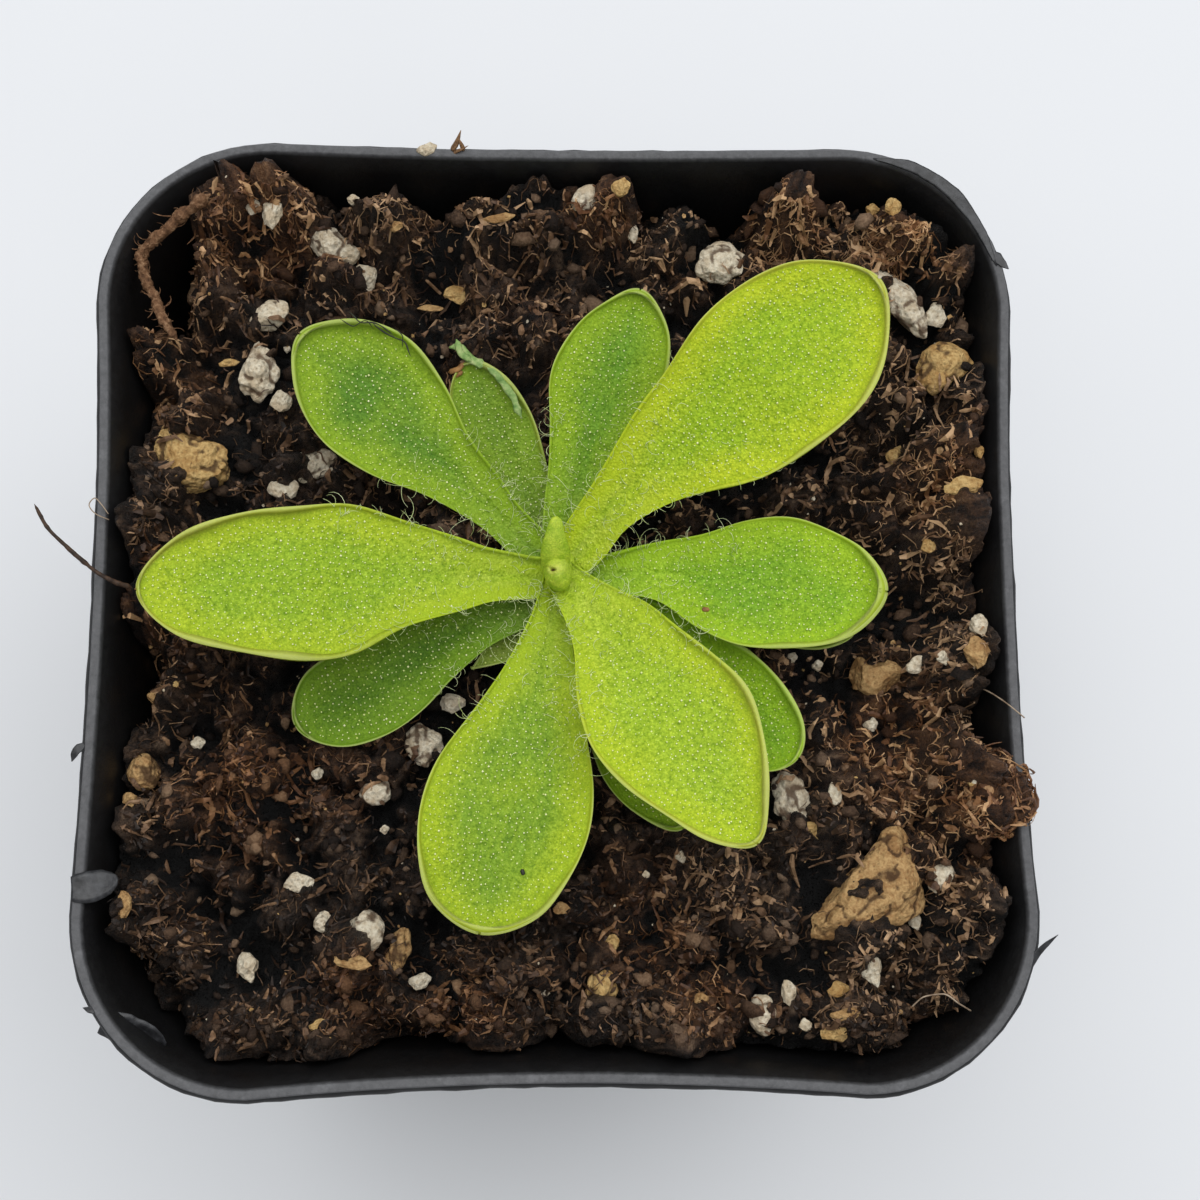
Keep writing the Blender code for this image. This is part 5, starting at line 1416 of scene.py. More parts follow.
def mark_tube(radius, flat, rough):
    """One crooked scrap or thread, as points and faces."""
    path = smooth_path(rough, 22)
    path += 0.10 * np.column_stack([smooth_noise(path, 0.9, seed) for seed in (191, 193, 197)])
    share = np.linspace(0, 1, len(path))
    radii = radius * (1.0 + 0.35 * smooth_noise(path, 0.7, 199))
    radii *= np.clip(np.minimum(share, 1.0 - share) * 7.0, 0.2, 1.0)
    return tube_mesh(path[None], radii[None], 8, flat)


def make_leaf_marks():
    """Withered scraps and specks on the leaves."""
    materials = {kind: mottled(look) for kind, look in MARK_LOOKS.items()}
    for name, kind, slot, rows in LEAF_MARKS:
        points, faces = joined([mark_tube(*row) for row in rows])
        make_piece(name, points, faces, materials[kind])


def crown_material():
    """Yellow-green skin of the young parts, brownish inside the pit, with painted shade along the bud's
    crease.
    """
    shader = Shader("crown_skin", roughness=0.42, specular=0.3)
    broad = shader.noise(0.9, detail=4.0)
    fine = shader.noise(0.16, detail=4.0, roughness=0.6)
    body = shader.mix(shader.remap(broad, 0.36, 0.64), (0.30, 0.46, 0.020), (0.47, 0.60, 0.045))
    spots = shader.ramp(fine, ((0.32, (0.72, 0.78, 0.6)), (0.68, (1.22, 1.16, 1.3))))
    body = shader.mix(1.0, body, spots, "MULTIPLY")
    body = shader.mix(shader.value("tan"), body, (0.60, 0.62, 0.12))
    # pit value: the pit's own brown, and painted shade along the crease
    shader.color(shader.mix(shader.value("pit"), body, (0.10, 0.060, 0.012)))
    shader.flesh(0.6)
    shader.bump(fine, 0.14, 0.8)
    return shader.material


def bud_form():
    """Round bud with a crease and a pit: points, faces, shares of the pit's brown with painted shade in the
    crease, and of tan.
    """
    shape, faces = ball_shape(60, 72)
    bud = shape * np.array(BUD_SIZE)
    bud[:, 0] -= 0.10 * bud[:, 1]
    upper = shape[:, 2] > 0
    pit = np.hypot((bud[:, 0] - PIT_X) / 0.15, (bud[:, 1] - PIT_Y) / 0.10)
    hollow = np.exp(-pit ** 2) * upper
    ring = np.exp(-((pit - 2.4) / 1.3) ** 2) * upper
    lobe = np.hypot(bud[:, 0] - 0.25, bud[:, 1] - 0.35)
    crest = np.exp(-(lobe / 0.8) ** 2) * upper
    crease = np.exp(-((bud[:, 1] + 0.55 * bud[:, 0] + 0.12) / 0.10) ** 2)
    crease = crease * upper * (bud[:, 0] < PIT_X + 0.3)
    grain = 0.12 * smooth_noise(bud, 0.7, 3) + 0.04 * smooth_noise(bud, 0.25, 4)
    bud[:, 2] += grain + 0.26 * crest + 0.06 * ring
    bud[:, 2] -= 0.26 * hollow + 0.12 * crease
    # the crease takes part of the pit's dark colour as painted shade
    pit_and_crease_shade = np.clip(hollow * 1.5 + crease * 0.25, 0, 1)
    tan_share = np.clip(ring * 0.45 + crest * 0.3, 0, 1)
    return bud + np.array(BUD_PLACE), faces, pit_and_crease_shade, tan_share


def stem_form():
    """Short stem under the bud, as points and faces."""
    points = []
    for radius, height in STEM_RINGS:
        for step in range(STEM_SIDES):
            angle = 2.0 * math.pi * step / STEM_SIDES
            wobble = 1.0 + 0.05 * math.sin(3.0 * angle + height)
            points.append((CROWN_X + radius * wobble * math.cos(angle),
                           CROWN_Y + radius * wobble * math.sin(angle), RIM_Z + height))
    return np.array(points), ring_faces(STEM_SIDES, len(STEM_RINGS))


def tongue_form():
    """Upright tongue of the youngest leaf, as points and faces."""
    places = np.array([place for place, _ in TONGUE])
    path = smooth_path(places, TONGUE_STEPS) + np.array([CROWN_X, CROWN_Y, 0.0])
    lengths = lengths_along(places)
    widths = [width for _, width in TONGUE]
    radii = interpolate(lengths / lengths[-1], widths, np.linspace(0.0, 1.0, TONGUE_STEPS))
    return tube_mesh(path[None], radii[None], TONGUE_SIDES, TONGUE_FLAT)


def make_crown():
    """Stem, round bud with its pit, and the upright tongue of the youngest leaf."""
    bud, bud_faces, pit_and_crease_shade, tan_share = bud_form()
    points, faces = joined([(bud, bud_faces), stem_form(), tongue_form()])
    rest = np.zeros(len(points) - len(bud))
    values = {"pit": np.concatenate([pit_and_crease_shade, rest]), "tan": np.concatenate([tan_share, rest])}
    piece = make_piece("crown_bud", points, faces, crown_material(), values)
    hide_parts("crown")


def grain_frames(x, y):
    """Places in each large grain's own turned frame, with its height and half sizes."""
    for gx, gy, height, rx, ry, rz, turn, _, _ in GRAINS.values():
        angle = math.radians(turn)
        along = (x - gx) * math.cos(angle) + (y - gy) * math.sin(angle)
        aside = (y - gy) * math.cos(angle) - (x - gx) * math.sin(angle)
        yield along, aside, height, rx, ry, rz


def grain_tops(x, y):
    """Upper side of the large grains as rounded forms."""
    top = np.full(x.shape, -99.0)
    for along, aside, height, rx, ry, rz in grain_frames(x, y):
        reach = (along / rx) ** 2 + (aside / ry) ** 2
        dome = RIM_Z + height + rz * np.sqrt(np.maximum(1.0 - reach, 0.0))
        top = np.where(reach < 1.0, np.maximum(top, dome), top)
    return top


def grain_cover(x, y, extra):
    """Whether each point lies on one of the large grains."""
    covered = np.zeros(x.shape, bool)
    for along, aside, _, rx, ry, _ in grain_frames(x, y):
        covered |= (along / (rx + extra)) ** 2 + (aside / (ry + extra)) ** 2 < 1.0
    return covered


def seat_limits(x, y):
    """Lowest and highest soil beside the large grains."""
    low = np.full(x.shape, -99.0)
    high = np.full(x.shape, 99.0)
    for along, aside, height, rx, ry, rz in grain_frames(x, y):
        reach = (along / (rx + 1.2)) ** 2 + (aside / (ry + 1.2)) ** 2
        rise = height - 0.3 * rz - 2.0 * np.maximum(0.0, reach - 1.0)
        low = np.where(reach < 2.5, np.maximum(low, rise), low)
        high = np.where(reach < 1.2, np.minimum(high, height + 0.15 * rz), high)
    return low, high


def bumps(x, y, items):
    """Sum of rounded bumps."""
    total = np.zeros(x.shape)
    for cx, cy, rx, ry, height in items:
        reach = ((x - cx) / rx) ** 2 + ((y - cy) / ry) ** 2
        total += height * np.exp(-np.minimum(reach, 6.0) ** 1.5) * (reach < 6.0)
    return total


def soil_form(x, y):
    """Main form of the soil below the rim: that of the solid, banked up at the walls."""
    away = np.hypot(x - CROWN_X, y - CROWN_Y)
    calm = 0.35 + 0.65 * np.clip((away - CALM_START) / (CALM_RADIUS - CALM_START), 0.0, 1.0)
    wide = [noise.noise((a / 6.5, b / 6.5, 3.1)) for a, b in zip(x.tolist(), y.tolist())]
    close = [noise.noise((a / 3.1, b / 3.1, 8.7)) for a, b in zip(x.tolist(), y.tolist())]
    height = SOIL_TOP + calm * (1.5 * np.array(wide) + 1.1 * np.array(close))
    height += bumps(x, y, CLUMPS) - bumps(x, y, HOLLOWS)
    height = np.maximum(height, np.minimum(height + soil_bank(x, y), BANK_TOP))
    low, high = seat_limits(x, y)
    return np.minimum(np.minimum(np.maximum(height, low), high), 1.0)


def soil_bank(x, y):
    """Extra height of the crumbs heaped against the wall."""
    reach = Wall().at(np.arctan2(y, x), RIM_Z + SOIL_TOP)
    near = np.clip(1.0 - (reach - np.hypot(x, y)) / BANK_WIDTH, 0.0, 1.0)
    share = np.clip(0.8 + 1.1 * layered_noise(flat_spots(x, y), 6.0, 171, 2), 0.0, 1.3)
    holes = np.clip(bumps(x, y, HOLLOWS) / 2.5, 0.0, 1.0)
    side = np.interp(y, (-34.0, -26.0, 20.0, 34.0), (0.35, 0.8, 1.0, 1.25))
    return BANK_HEIGHT * near ** 0.6 * share * (1.0 - holes) * side


def crumb_relief(x, y):
    """Clods and shreds on top of the soil's main form, and their streaks."""
    spots = flat_spots(x, y)
    wx = x + 0.9 * layered_noise(spots, 2.2, 61, 3)
    wy = y + 0.9 * layered_noise(spots, 2.2, 67, 3)
    big, big_own = cell_lumps(wx, wy, 5.2, 71, 0.34, 0.60)
    mid, mid_own = cell_lumps(wx, wy, 2.1, 73, 0.30, 0.62)
    small, _ = cell_lumps(wx, wy, 0.9, 79, 0.30, 0.62)
    turn = math.pi * (big_own + 0.5 * mid_own)
    along = x * np.cos(turn) + y * np.sin(turn)
    aside = y * np.cos(turn) - x * np.sin(turn)
    streak = smooth_noise(np.column_stack([along / 2.2, aside / 0.40, big_own * 9.0]), 1.0, 83)
    streak += 0.6 * smooth_noise(np.column_stack([along / 1.1, aside / 0.26, mid_own * 9.0]), 1.0, 89)
    relief = 1.45 * np.maximum(big, -0.7) + 0.95 * np.maximum(mid, -0.6)
    relief += 0.55 * np.maximum(small, -0.3)
    relief += 0.16 * streak + 0.20 * layered_noise(spots, 0.55, 97, 2)
    return relief - 2.6, streak


def soil_detail(x, y, ceiling):
    """Height of the finished soil surface with its relief and streaks."""
    relief, streak = crumb_relief(x, y)
    z = np.minimum(RIM_Z + soil_form(x, y) + relief, ceiling.over(x, y) - 0.45)
    return z, relief, streak


def soil_surface(x, y, ceiling):
    """Height of the finished soil surface."""
    return soil_detail(x, y, ceiling)[0]


def soil_level(x, y, ceiling):
    """Height of the soil with the grains that lie on it."""
    return np.maximum(soil_surface(x, y, ceiling), grain_tops(x, y))


class Ceiling:
    """Undersides of the leaves and twigs as a map that soil pieces stay below."""

    def __init__(self):
        self.low = -45.0
        self.step = 0.5
        self.size = 180
        self.map = np.full((self.size, self.size), 999.0)
        for leaf in LEAVES.values():
            form = LeafForm(leaf)
            plan, _, _ = form.grid(90, 36)
            top, _, _, _ = form.surface(plan)
            self.stamp(top - np.array([0.0, 0.0, BLADE]))
        for radius, points in TWIGS.values():
            path = smooth_path(points, 60)
            self.stamp(path - np.array([0.0, 0.0, radius]))
        grown = self.map.copy()
        for dx in (-2, -1, 0, 1, 2):
            for dy in (-2, -1, 0, 1, 2):
                grown = np.minimum(grown, np.roll(np.roll(self.map, dx, 0), dy, 1))
        self.map = grown

    def cell(self, x, y):
        """Map place of each point."""
        i = np.clip(((x - self.low) / self.step).astype(int), 0, self.size - 1)
        j = np.clip(((y - self.low) / self.step).astype(int), 0, self.size - 1)
        return i, j

    def stamp(self, points):
        """Lower the map at the given points."""
        i, j = self.cell(points[:, 0], points[:, 1])
        np.minimum.at(self.map, (i, j), points[:, 2])

    def over(self, x, y):
        """Highest free place at each point."""
        i, j = self.cell(x, y)
        return self.map[i, j]


def warm_share(x, y):
    """How reddish and fibrous the soil is at each place."""
    warm = np.zeros(x.shape)
    for cx, cy, radius in WARM_SPOTS:
        warm = np.maximum(warm, np.exp(-((x - cx) ** 2 + (y - cy) ** 2) / radius ** 2))
    return np.clip(warm + 0.28 * layered_noise(flat_spots(x, y), 5.0, 131, 3), 0.0, 1.0)


def dry_share(x, y):
    """How dry and bright the soil is: more to the right and the far side."""
    share = 0.38 + np.maximum(x, -10.0) / 58.0 + np.maximum(y, -34.0) / 80.0
    return np.clip(share + 0.35 * layered_noise(flat_spots(x, y), 7.0, 137, 2), 0.0, 1.2)


def soil_material():
    """Moist peat: brown clods, reddish shreds and wet glints, with painted shade that turns the low voids
    near black, and tops painted lighter.
    """
    shader = Shader("soil_peat", roughness=0.8, specular=0.35)
    fine = shader.noise(0.36, detail=7.0, roughness=0.72)
    speck = shader.noise(0.15, detail=3.0)
    mixed = shader.math("ADD", shader.math("MULTIPLY", fine, 0.66),
                        shader.math("MULTIPLY", shader.value("streak"), 0.18))
    dark = shader.ramp(mixed, (
        (0.18, (0.004, 0.0022, 0.0013)), (0.32, (0.018, 0.010, 0.006)),
        (0.46, (0.070, 0.042, 0.026)), (0.62, (0.21, 0.14, 0.088))))
    warm = shader.ramp(mixed, (
        (0.18, (0.008, 0.003, 0.0014)), (0.32, (0.050, 0.021, 0.009)),
        (0.46, (0.140, 0.064, 0.028)), (0.62, (0.34, 0.19, 0.095))))
    color = shader.mix(shader.value("warm"), dark, warm)
    # painted shade: colour falls to near black in the relief's lows and rises on its highs
    lift = shader.remap(shader.value("height"), -2.1, 0.6, 0.010, 1.3)
    lift = shader.math("MULTIPLY", lift, shader.remap(shader.value("dry"), 0.0, 1.2, 0.7, 2.5))
    shade = shader.mix(lift, (0.0, 0.0, 0.0), (1.0, 1.0, 1.0))
    shader.color(shader.mix(1.0, color, shade, "MULTIPLY"))
    shader.rough(shader.ramp(speck, ((0.42, (0.18, 0.18, 0.18)), (0.48, (0.75, 0.75, 0.75)),
                                     (1.0, (0.95, 0.95, 0.95)))))
    shader.bump(shader.math("ADD", fine, shader.math("MULTIPLY", speck, 0.5)), 0.45, 1.0)
    return shader.material


def soil_places(wall):
    """Grid of places that fills the pot's inside, with direction and squareness."""
    steps = np.linspace(-1.0, 1.0, SOIL_STEPS + 1)
    a, b = np.meshgrid(steps, steps, indexing="ij")
    square = np.maximum(np.abs(a), np.abs(b))
    angle = np.arctan2(b, a)
    length = np.hypot(a, b)
    plain = length * (POT_HALF_X - WALL - LIP - 1.0)
    blend = square ** 3
    radius = plain * (1.0 - blend) + wall.at(angle, RIM_Z + SOIL_TOP) * square * blend
    safe = np.maximum(length, 1e-9)
    return radius * a / safe, radius * b / safe, angle, square


def grid_border():
    """Numbers of the soil grid's outer points, in order round it."""
    last = SOIL_STEPS
    border = [(k, 0) for k in range(last)]
    border += [(last, k) for k in range(last)]
    border += [(k, last) for k in range(last, 0, -1)]
    border += [(0, k) for k in range(last, 0, -1)]
    return [k * (last + 1) + m for k, m in border]


def soil_faces(border):
    """Faces of the soil's surface, its sides and its foot."""
    count = SOIL_STEPS + 1
    i, j = np.meshgrid(np.arange(SOIL_STEPS), np.arange(SOIL_STEPS), indexing="ij")
    first = (i * count + j).ravel()
    faces = np.column_stack([first, first + count, first + count + 1, first + 1]).tolist()
    start = count * count
    for index, top in enumerate(border):
        following = (index + 1) % len(border)
        faces.append((top, start + index, start + following, border[following]))
    faces.append(tuple(start + index for index in range(len(border) - 1, -1, -1)))
    return faces


def make_soil(wall, ceiling):
    """Crumbly soil surface that replaces the plain solid."""
    x, y, angle, square = soil_places(wall)
    z, relief, streak = soil_detail(x.ravel(), y.ravel(), ceiling)
    limit = wall.at(angle, z.reshape(x.shape))
    shrink = np.where(square > 0.97, limit / np.maximum(wall.at(angle, RIM_Z + SOIL_TOP), 1.0), 1.0)
    shrink = np.minimum(shrink, limit / np.maximum(np.hypot(x, y), 1e-6))
    top = np.column_stack([(x * shrink).ravel(), (y * shrink).ravel(), z])
    border = grid_border()
    side = angle.ravel()[border]
    reach = wall.at(side, SOIL_FOOT)
    foot = np.column_stack([reach * np.cos(side), reach * np.sin(side), np.full(len(border), SOIL_FOOT)])
    low = np.full(len(border), -1.0)
    none = np.zeros(len(border))
    values = {
        # height: the relief, which the soil look turns into painted shade in the lows
        "height": np.concatenate([relief, low]), "streak": np.concatenate([streak, low]),
        "warm": np.concatenate([warm_share(x.ravel(), y.ravel()), none]),
        "dry": np.concatenate([dry_share(x.ravel(), y.ravel()), none])}
    piece = make_piece("soil_surface", np.concatenate([top, foot]), soil_faces(border), soil_material(),
                       values)
    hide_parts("soil")


def pick_places(draw, count, wall, margin):
    """Random places on the soil, denser on the clumps."""
    spread = int(count * 0.7)
    x = draw.uniform(-36.0, 36.0, spread)
    y = draw.uniform(-37.0, 37.0, spread)
    clumps = np.array([c for c in CLUMPS if c[4] > 1.9])
    weight = clumps[:, 2] * clumps[:, 3]
    chosen = clumps[draw.choice(len(clumps), count - spread, p=weight / weight.sum())]
    cx = chosen[:, 0] + draw.normal(0, 0.75, len(chosen)) * chosen[:, 2]
    cy = chosen[:, 1] + draw.normal(0, 0.75, len(chosen)) * chosen[:, 3]
    x = np.concatenate([x, cx])
    y = np.concatenate([y, cy])
    keep = wall.inside(x, y, np.full(len(x), RIM_Z + SOIL_TOP), margin)
    return x[keep], y[keep]


def crumb_material():
    """Peat crumbs from near black to reddish brown."""
    shader = Shader("soil_crumb", roughness=0.85, specular=0.3)
    fine = shader.noise(0.30, detail=6.0, roughness=0.72)
    level = shader.math("MULTIPLY", shader.math("ADD", fine, shader.value("tint")), 0.5)
    dark = shader.ramp(level, (
        (0.25, (0.006, 0.003, 0.0015)), (0.48, (0.035, 0.020, 0.012)),
        (0.64, (0.12, 0.074, 0.046)), (0.82, (0.28, 0.19, 0.12))))
    warm = shader.ramp(level, (
        (0.25, (0.018, 0.007, 0.003)), (0.48, (0.085, 0.037, 0.016)),
        (0.64, (0.20, 0.098, 0.044)), (0.82, (0.38, 0.23, 0.125))))
    shader.color(shader.mix(shader.value("warm"), dark, warm))
    shader.rough(shader.ramp(shader.noise(0.2), ((0.38, (0.25, 0.25, 0.25)), (0.5, (0.85, 0.85, 0.85)))))
    shader.bump(fine, 0.3, 1.0)
    return shader.material


def make_crumbs(wall, ceiling):
    """Loose crumbs of peat on the soil."""
    draw = np.random.default_rng(101)
    x, y = pick_places(draw, CRUMB_COUNT, wall, 0.6)
    keep = ~grain_cover(x, y, -0.35)
    x, y = x[keep], y[keep]
    size = np.clip(draw.lognormal(-1.0, 0.42, len(x)), 0.16, 0.85)
    z = soil_level(x, y, ceiling) + 0.2 * size
    z = np.minimum(z, ceiling.over(x, y) - size - 0.25)
    z = np.minimum(z, RIM_Z + 1.0 - 0.6 * size)
    allowed = wall.at(np.arctan2(y, x), z) - 0.8 * size
    pull = np.minimum(1.0, allowed / np.maximum(np.hypot(x, y), 1e-6))
    places = np.column_stack([x * pull, y * pull, z])
    shapes = rough_balls(10, 1, 0.5, 107)
    kind = draw.integers(0, len(shapes), len(x))
    turns = turn_matrices(draw, len(x))
    squash = draw.uniform(0.5, 1.35, (len(x), 3))
    tint = draw.uniform(0, 1, len(x))
    warm = warm_share(places[:, 0], places[:, 1])
    parts, tints, warms = [], [], []
    for number, (shape, shape_faces) in enumerate(shapes):
        pick = np.nonzero(kind == number)[0]
        local = shape[None] * squash[pick][:, None, :] * size[pick][:, None, None]
        local = np.einsum("nij,nvj->nvi", turns[pick], local) + places[pick][:, None, :]
        parts += [(crumb, shape_faces) for crumb in local]
        tints.append(np.repeat(tint[pick], len(shape)))
        warms.append(np.repeat(warm[pick], len(shape)))
    points, faces = joined(parts)
    values = {"tint": np.concatenate(tints), "warm": np.concatenate(warms)}
    make_piece("soil_crumbs", points, faces, crumb_material(), values)


def fibre_paths(draw, look, wall, ceiling):
    """Curved paths that hug the clods, with their place's warmth and dryness."""
    x, y = pick_places(draw, look["count"], wall, 0.5)
    warm = warm_share(x, y)
    _, relief, _ = soil_detail(x, y, ceiling)
    brown_liking, red_liking = look["liking"]
    keep = ~grain_cover(x, y, -0.4)
    keep &= draw.uniform(0, 1, len(x)) < brown_liking + (red_liking - brown_liking) * warm
    keep &= draw.uniform(0, 1, len(x)) < np.clip(0.35 + 0.4 * (relief + 1.6), 0.12, 1.0)
    x, y, warm = x[keep], y[keep], warm[keep]
    count, steps = len(x), look["steps"]
    usual, longest = look["length"]
    reach = np.clip(draw.lognormal(math.log(usual), 0.45, count), 0.4, longest)
    bend = np.radians(draw.uniform(*look["bend"], count)) * draw.choice((-1.0, 1.0), count)
    heading = draw.uniform(0.0, 2.0 * math.pi, count)
    path = np.zeros((count, steps, 3))
    px, py = x.copy(), y.copy()
    arch = draw.uniform(*look["arch"], count)
    end = np.maximum(draw.normal(0.0, 0.5, count), 0.0)
    for step in range(steps):
        share = step / (steps - 1)
        pz = soil_level(px, py, ceiling) + 0.04 + arch * (math.sin(math.pi * share) + end * share)
        pz = np.minimum(np.minimum(pz, ceiling.over(px, py) - 0.3), RIM_Z + 1.3)
        allowed = wall.at(np.arctan2(py, px), pz) + 0.1
        pull = np.minimum(1.0, allowed / np.maximum(np.hypot(px, py), 1e-6))
        pull = np.where(pz > RIM_Z + 0.15, 1.0, pull)
        path[:, step] = np.column_stack([px * pull, py * pull, pz])
        angle = heading + bend * share + 0.35 * draw.normal(0, 1, count)
        px = px + np.cos(angle) * reach / (steps - 1)
        py = py + np.sin(angle) * reach / (steps - 1)
    level = path[:, :, 2]
    middle = np.median(level, axis=1)[:, None]
    limit = 0.45 * reach[:, None]
    path[:, :, 2] = np.clip(level, middle - limit, middle + limit)
    return path, warm, dry_share(x, y)


def fibre_material(name, roughness):
    """Material of fibres or shreds, browner or redder from place to place."""
    shader = Shader(name, roughness=roughness, specular=0.4)
    fine = shader.noise(0.5, detail=4.0)
    tint = shader.math("MULTIPLY", shader.value("tint"), 0.6)
    level = shader.math("ADD", shader.math("MULTIPLY", fine, 0.45), tint)
    brown, red = shader.ramp(level, DARK_FIBRE), shader.ramp(level, WARM_FIBRE)
    shader.color(shader.mix(shader.value("warm"), brown, red))
    shader.bump(shader.noise(0.2, detail=4.0), 0.10, 0.8)
    return shader.material


def make_fibres(wall, ceiling):
    """Flat peat shreds and fine curled fibres."""
    for name, look in FIBRES.items():
        draw = np.random.default_rng(look["seed"])
        path, warm, dry = fibre_paths(draw, look, wall, ceiling)
        count, steps = path.shape[:2]
        least, most = look["radius"]
        width = least + (most - least) * draw.uniform(0, 1, (count, 1)) ** 1.6
        radii = width * np.array(FIBRE_PROFILES[steps])[None, :] * draw.uniform(0.75, 1.25, (count, steps))
        roll = draw.normal(0.0, 0.6, count)
        points, faces = tube_mesh(path, radii, look["sides"], look["flat"], roll)
        tint = np.clip(draw.uniform(0, 1, count) ** 1.3 + 0.55 * (dry - 0.4), 0.0, 1.3)
        each = look["sides"] * steps
        values = {"tint": np.repeat(tint, each), "warm": np.repeat(warm, each)}
        material = fibre_material(name + "_look", look["roughness"])
        make_piece(name, points, faces, material, values, smooth=False)


def clump_fibre_paths(draw, unit, body):
    """Curved paths over the upper side of the clump on the rim."""
    spots = draw.integers(0, len(body), CLUMP_FIBRES)
    normal = unit[spots]
    keep = normal[:, 2] > -0.35
    place = body[spots][keep] + 0.04 * normal[keep]
    normal = normal[keep]
    aside = unit_rows(np.cross(normal, draw.normal(0, 1, normal.shape)))
    other = np.cross(normal, aside)
    reach = np.clip(draw.lognormal(math.log(1.3), 0.4, len(place)), 0.5, 2.6)
    bend = np.radians(draw.uniform(20.0, 190.0, len(place)))
    steps = 5
    path = np.zeros((len(place), steps, 3))
    for step in range(steps):
        share = step / (steps - 1)
        path[:, step] = place + normal * (0.25 * math.sin(math.pi * share))
        angle = (bend * share)[:, None]
        place = place + (aside * np.cos(angle) + other * np.sin(angle)) * (reach / (steps - 1))[:, None]
        place = place - normal * (0.05 * reach)[:, None]
    return path


def make_rim_clump():
    """Fibrous clump of peat that hangs over the right rim."""
    draw = np.random.default_rng(181)
    unit, faces = geodesic_ball(5)
    relief = 0.20 * layered_noise(unit, 0.55, 183, 3) + 0.07 * layered_noise(unit, 0.16, 187, 2)
    body = unit * (1.0 + relief)[:, None] * np.array(CLUMP_SIZE) + np.array(CLUMP_PLACE)
    values = {
        # the relief height here also paints shade into the clump's lows
        "height": 3.0 * relief, "streak": smooth_noise(body, 0.3, 189), "warm": np.full(len(body), 0.9),
        "dry": np.full(len(body), 0.6)}
    make_piece("rim_clump", body, faces, soil_material(), values)
    path = clump_fibre_paths(draw, unit, body)
    count, steps = path.shape[:2]
    sides = 4
    radii = draw.uniform(0.04, 0.16, (count, 1)) * np.array(FIBRE_PROFILES[steps])[None, :]
    points, fibre_faces = tube_mesh(path, radii, sides, 0.5, draw.normal(0, 0.8, count))
    tint = np.repeat(draw.uniform(0.1, 1.0, count), sides * steps)
    values = {"tint": tint, "warm": np.full(len(points), 0.9)}
    material = fibre_material("clump_fibres_look", 0.5)
    make_piece("rim_clump_fibres", points, fibre_faces, material, values, smooth=False)


def grain_material(kind):
    """Porous grain in one of three colours, stained by the peat."""
    light, middle, stain = GRAIN_COLORS[kind]
    shader = Shader("grain_" + kind + "_look", roughness=0.75, specular=0.3)
    broad = shader.noise(2.2, detail=6.0, roughness=0.7)
    fine = shader.noise(0.35, detail=6.0, roughness=0.7)
    body = shader.ramp(fine, ((0.32, middle), (0.58, light)))
    body = shader.mix(shader.remap(broad, 0.47, 0.60, 0.0, 0.85), body, middle)
    soiled = shader.math("ADD", shader.value("cleft"), shader.math("MULTIPLY", broad, 0.9))
    body = shader.mix(shader.remap(soiled, 0.92, 1.20, 0.0, 0.85), body, stain)
    pits = shader.remap(shader.cells(0.42), 0.0, 0.30, 0.5, 0.0)
    shader.color(shader.mix(pits, body, stain))
    shader.bump(shader.math("ADD", fine, shader.cells(0.42)), 0.22, 0.9)
    return shader.material


def grain_divisions(rx, ry):
    """Finer division of the ball for larger grains."""
    if rx * ry > 7.0:
        return 6
    return 5 if rx * ry > 2.2 else 4


def grain_body(name, rx, ry, rz, seed):
    """Chipped porous stone round the origin: points, faces and depth of its clefts."""
    unit, faces = geodesic_ball(grain_divisions(rx, ry))
    form = [noise.noise((p[0] * 1.3 + seed, p[1] * 1.3, p[2] * 1.3)) for p in unit.tolist()]
    small = [noise.noise((p[0] * 3.4, p[1] * 3.4 + seed, p[2] * 3.4)) for p in unit.tolist()]
    lump = 1.0 + 0.16 * np.array(form) + 0.05 * np.array(small)
    lump = lump * (0.25 + 0.75 * chipped(unit, seed, 16, 0.70))
    body = unit * lump[:, None] * np.array([rx, ry, rz])
    bend, taper = GRAIN_BENDS.get(name, (0.0, 0.0))
    body[:, 1] = body[:, 1] * (1.0 - taper * body[:, 0] / rx) + bend * (1.0 - 1.6 * (body[:, 0] / rx) ** 2)
    billow = np.abs(smooth_noise(body, 1.5, seed)) + 0.5 * np.abs(smooth_noise(body, 0.7, seed + 1))
    pits = layered_noise(body, 0.45, seed + 2, 3)
    rough = 0.34 * (billow - 0.35) + 0.07 * pits - 0.22 * np.clip(pits - 0.55, 0, 1)
    body = body + unit * (rough * min(1.0, 0.45 * ry))[:, None]
    return body, faces, np.clip(0.5 - 1.3 * (billow - 0.35), 0.0, 1.0)


def make_grains(ceiling):
    """Large grains that replace their solids, and the small ones on the soil."""
    materials = {kind: grain_material(kind) for kind in GRAIN_KINDS}
    for name, (x, y, height, rx, ry, rz, turn, seed, kind) in GRAINS.items():
        body, faces, cleft = grain_body(name, rx, ry, rz, seed)
        px, py = turned(body[:, 0], body[:, 1], math.radians(turn), (x, y))
        points = np.column_stack([px, py, RIM_Z + height + body[:, 2]])
        piece = make_piece(name + "_stone", points, faces, materials[kind],
                           {"cleft": cleft})
        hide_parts(name)
    make_small_grains(materials, ceiling)
    make_rim_bits(materials)


def small_grain_rows(draw):
    """Placed small grains followed by scattered bits."""
    rows = list(SMALL_GRAINS)
    for _ in range(SCATTERED_BITS):
        x, y = draw.uniform(-35, 35), draw.uniform(-36, 36)
        size = float(np.clip(draw.lognormal(-2.0, 0.45), 0.07, 0.34))
        kind = GRAIN_KINDS[int(draw.choice(3, p=BIT_CHANCES))]
        rows.append((kind, x, y, size, size * draw.uniform(0.6, 1.3)))
    return rows


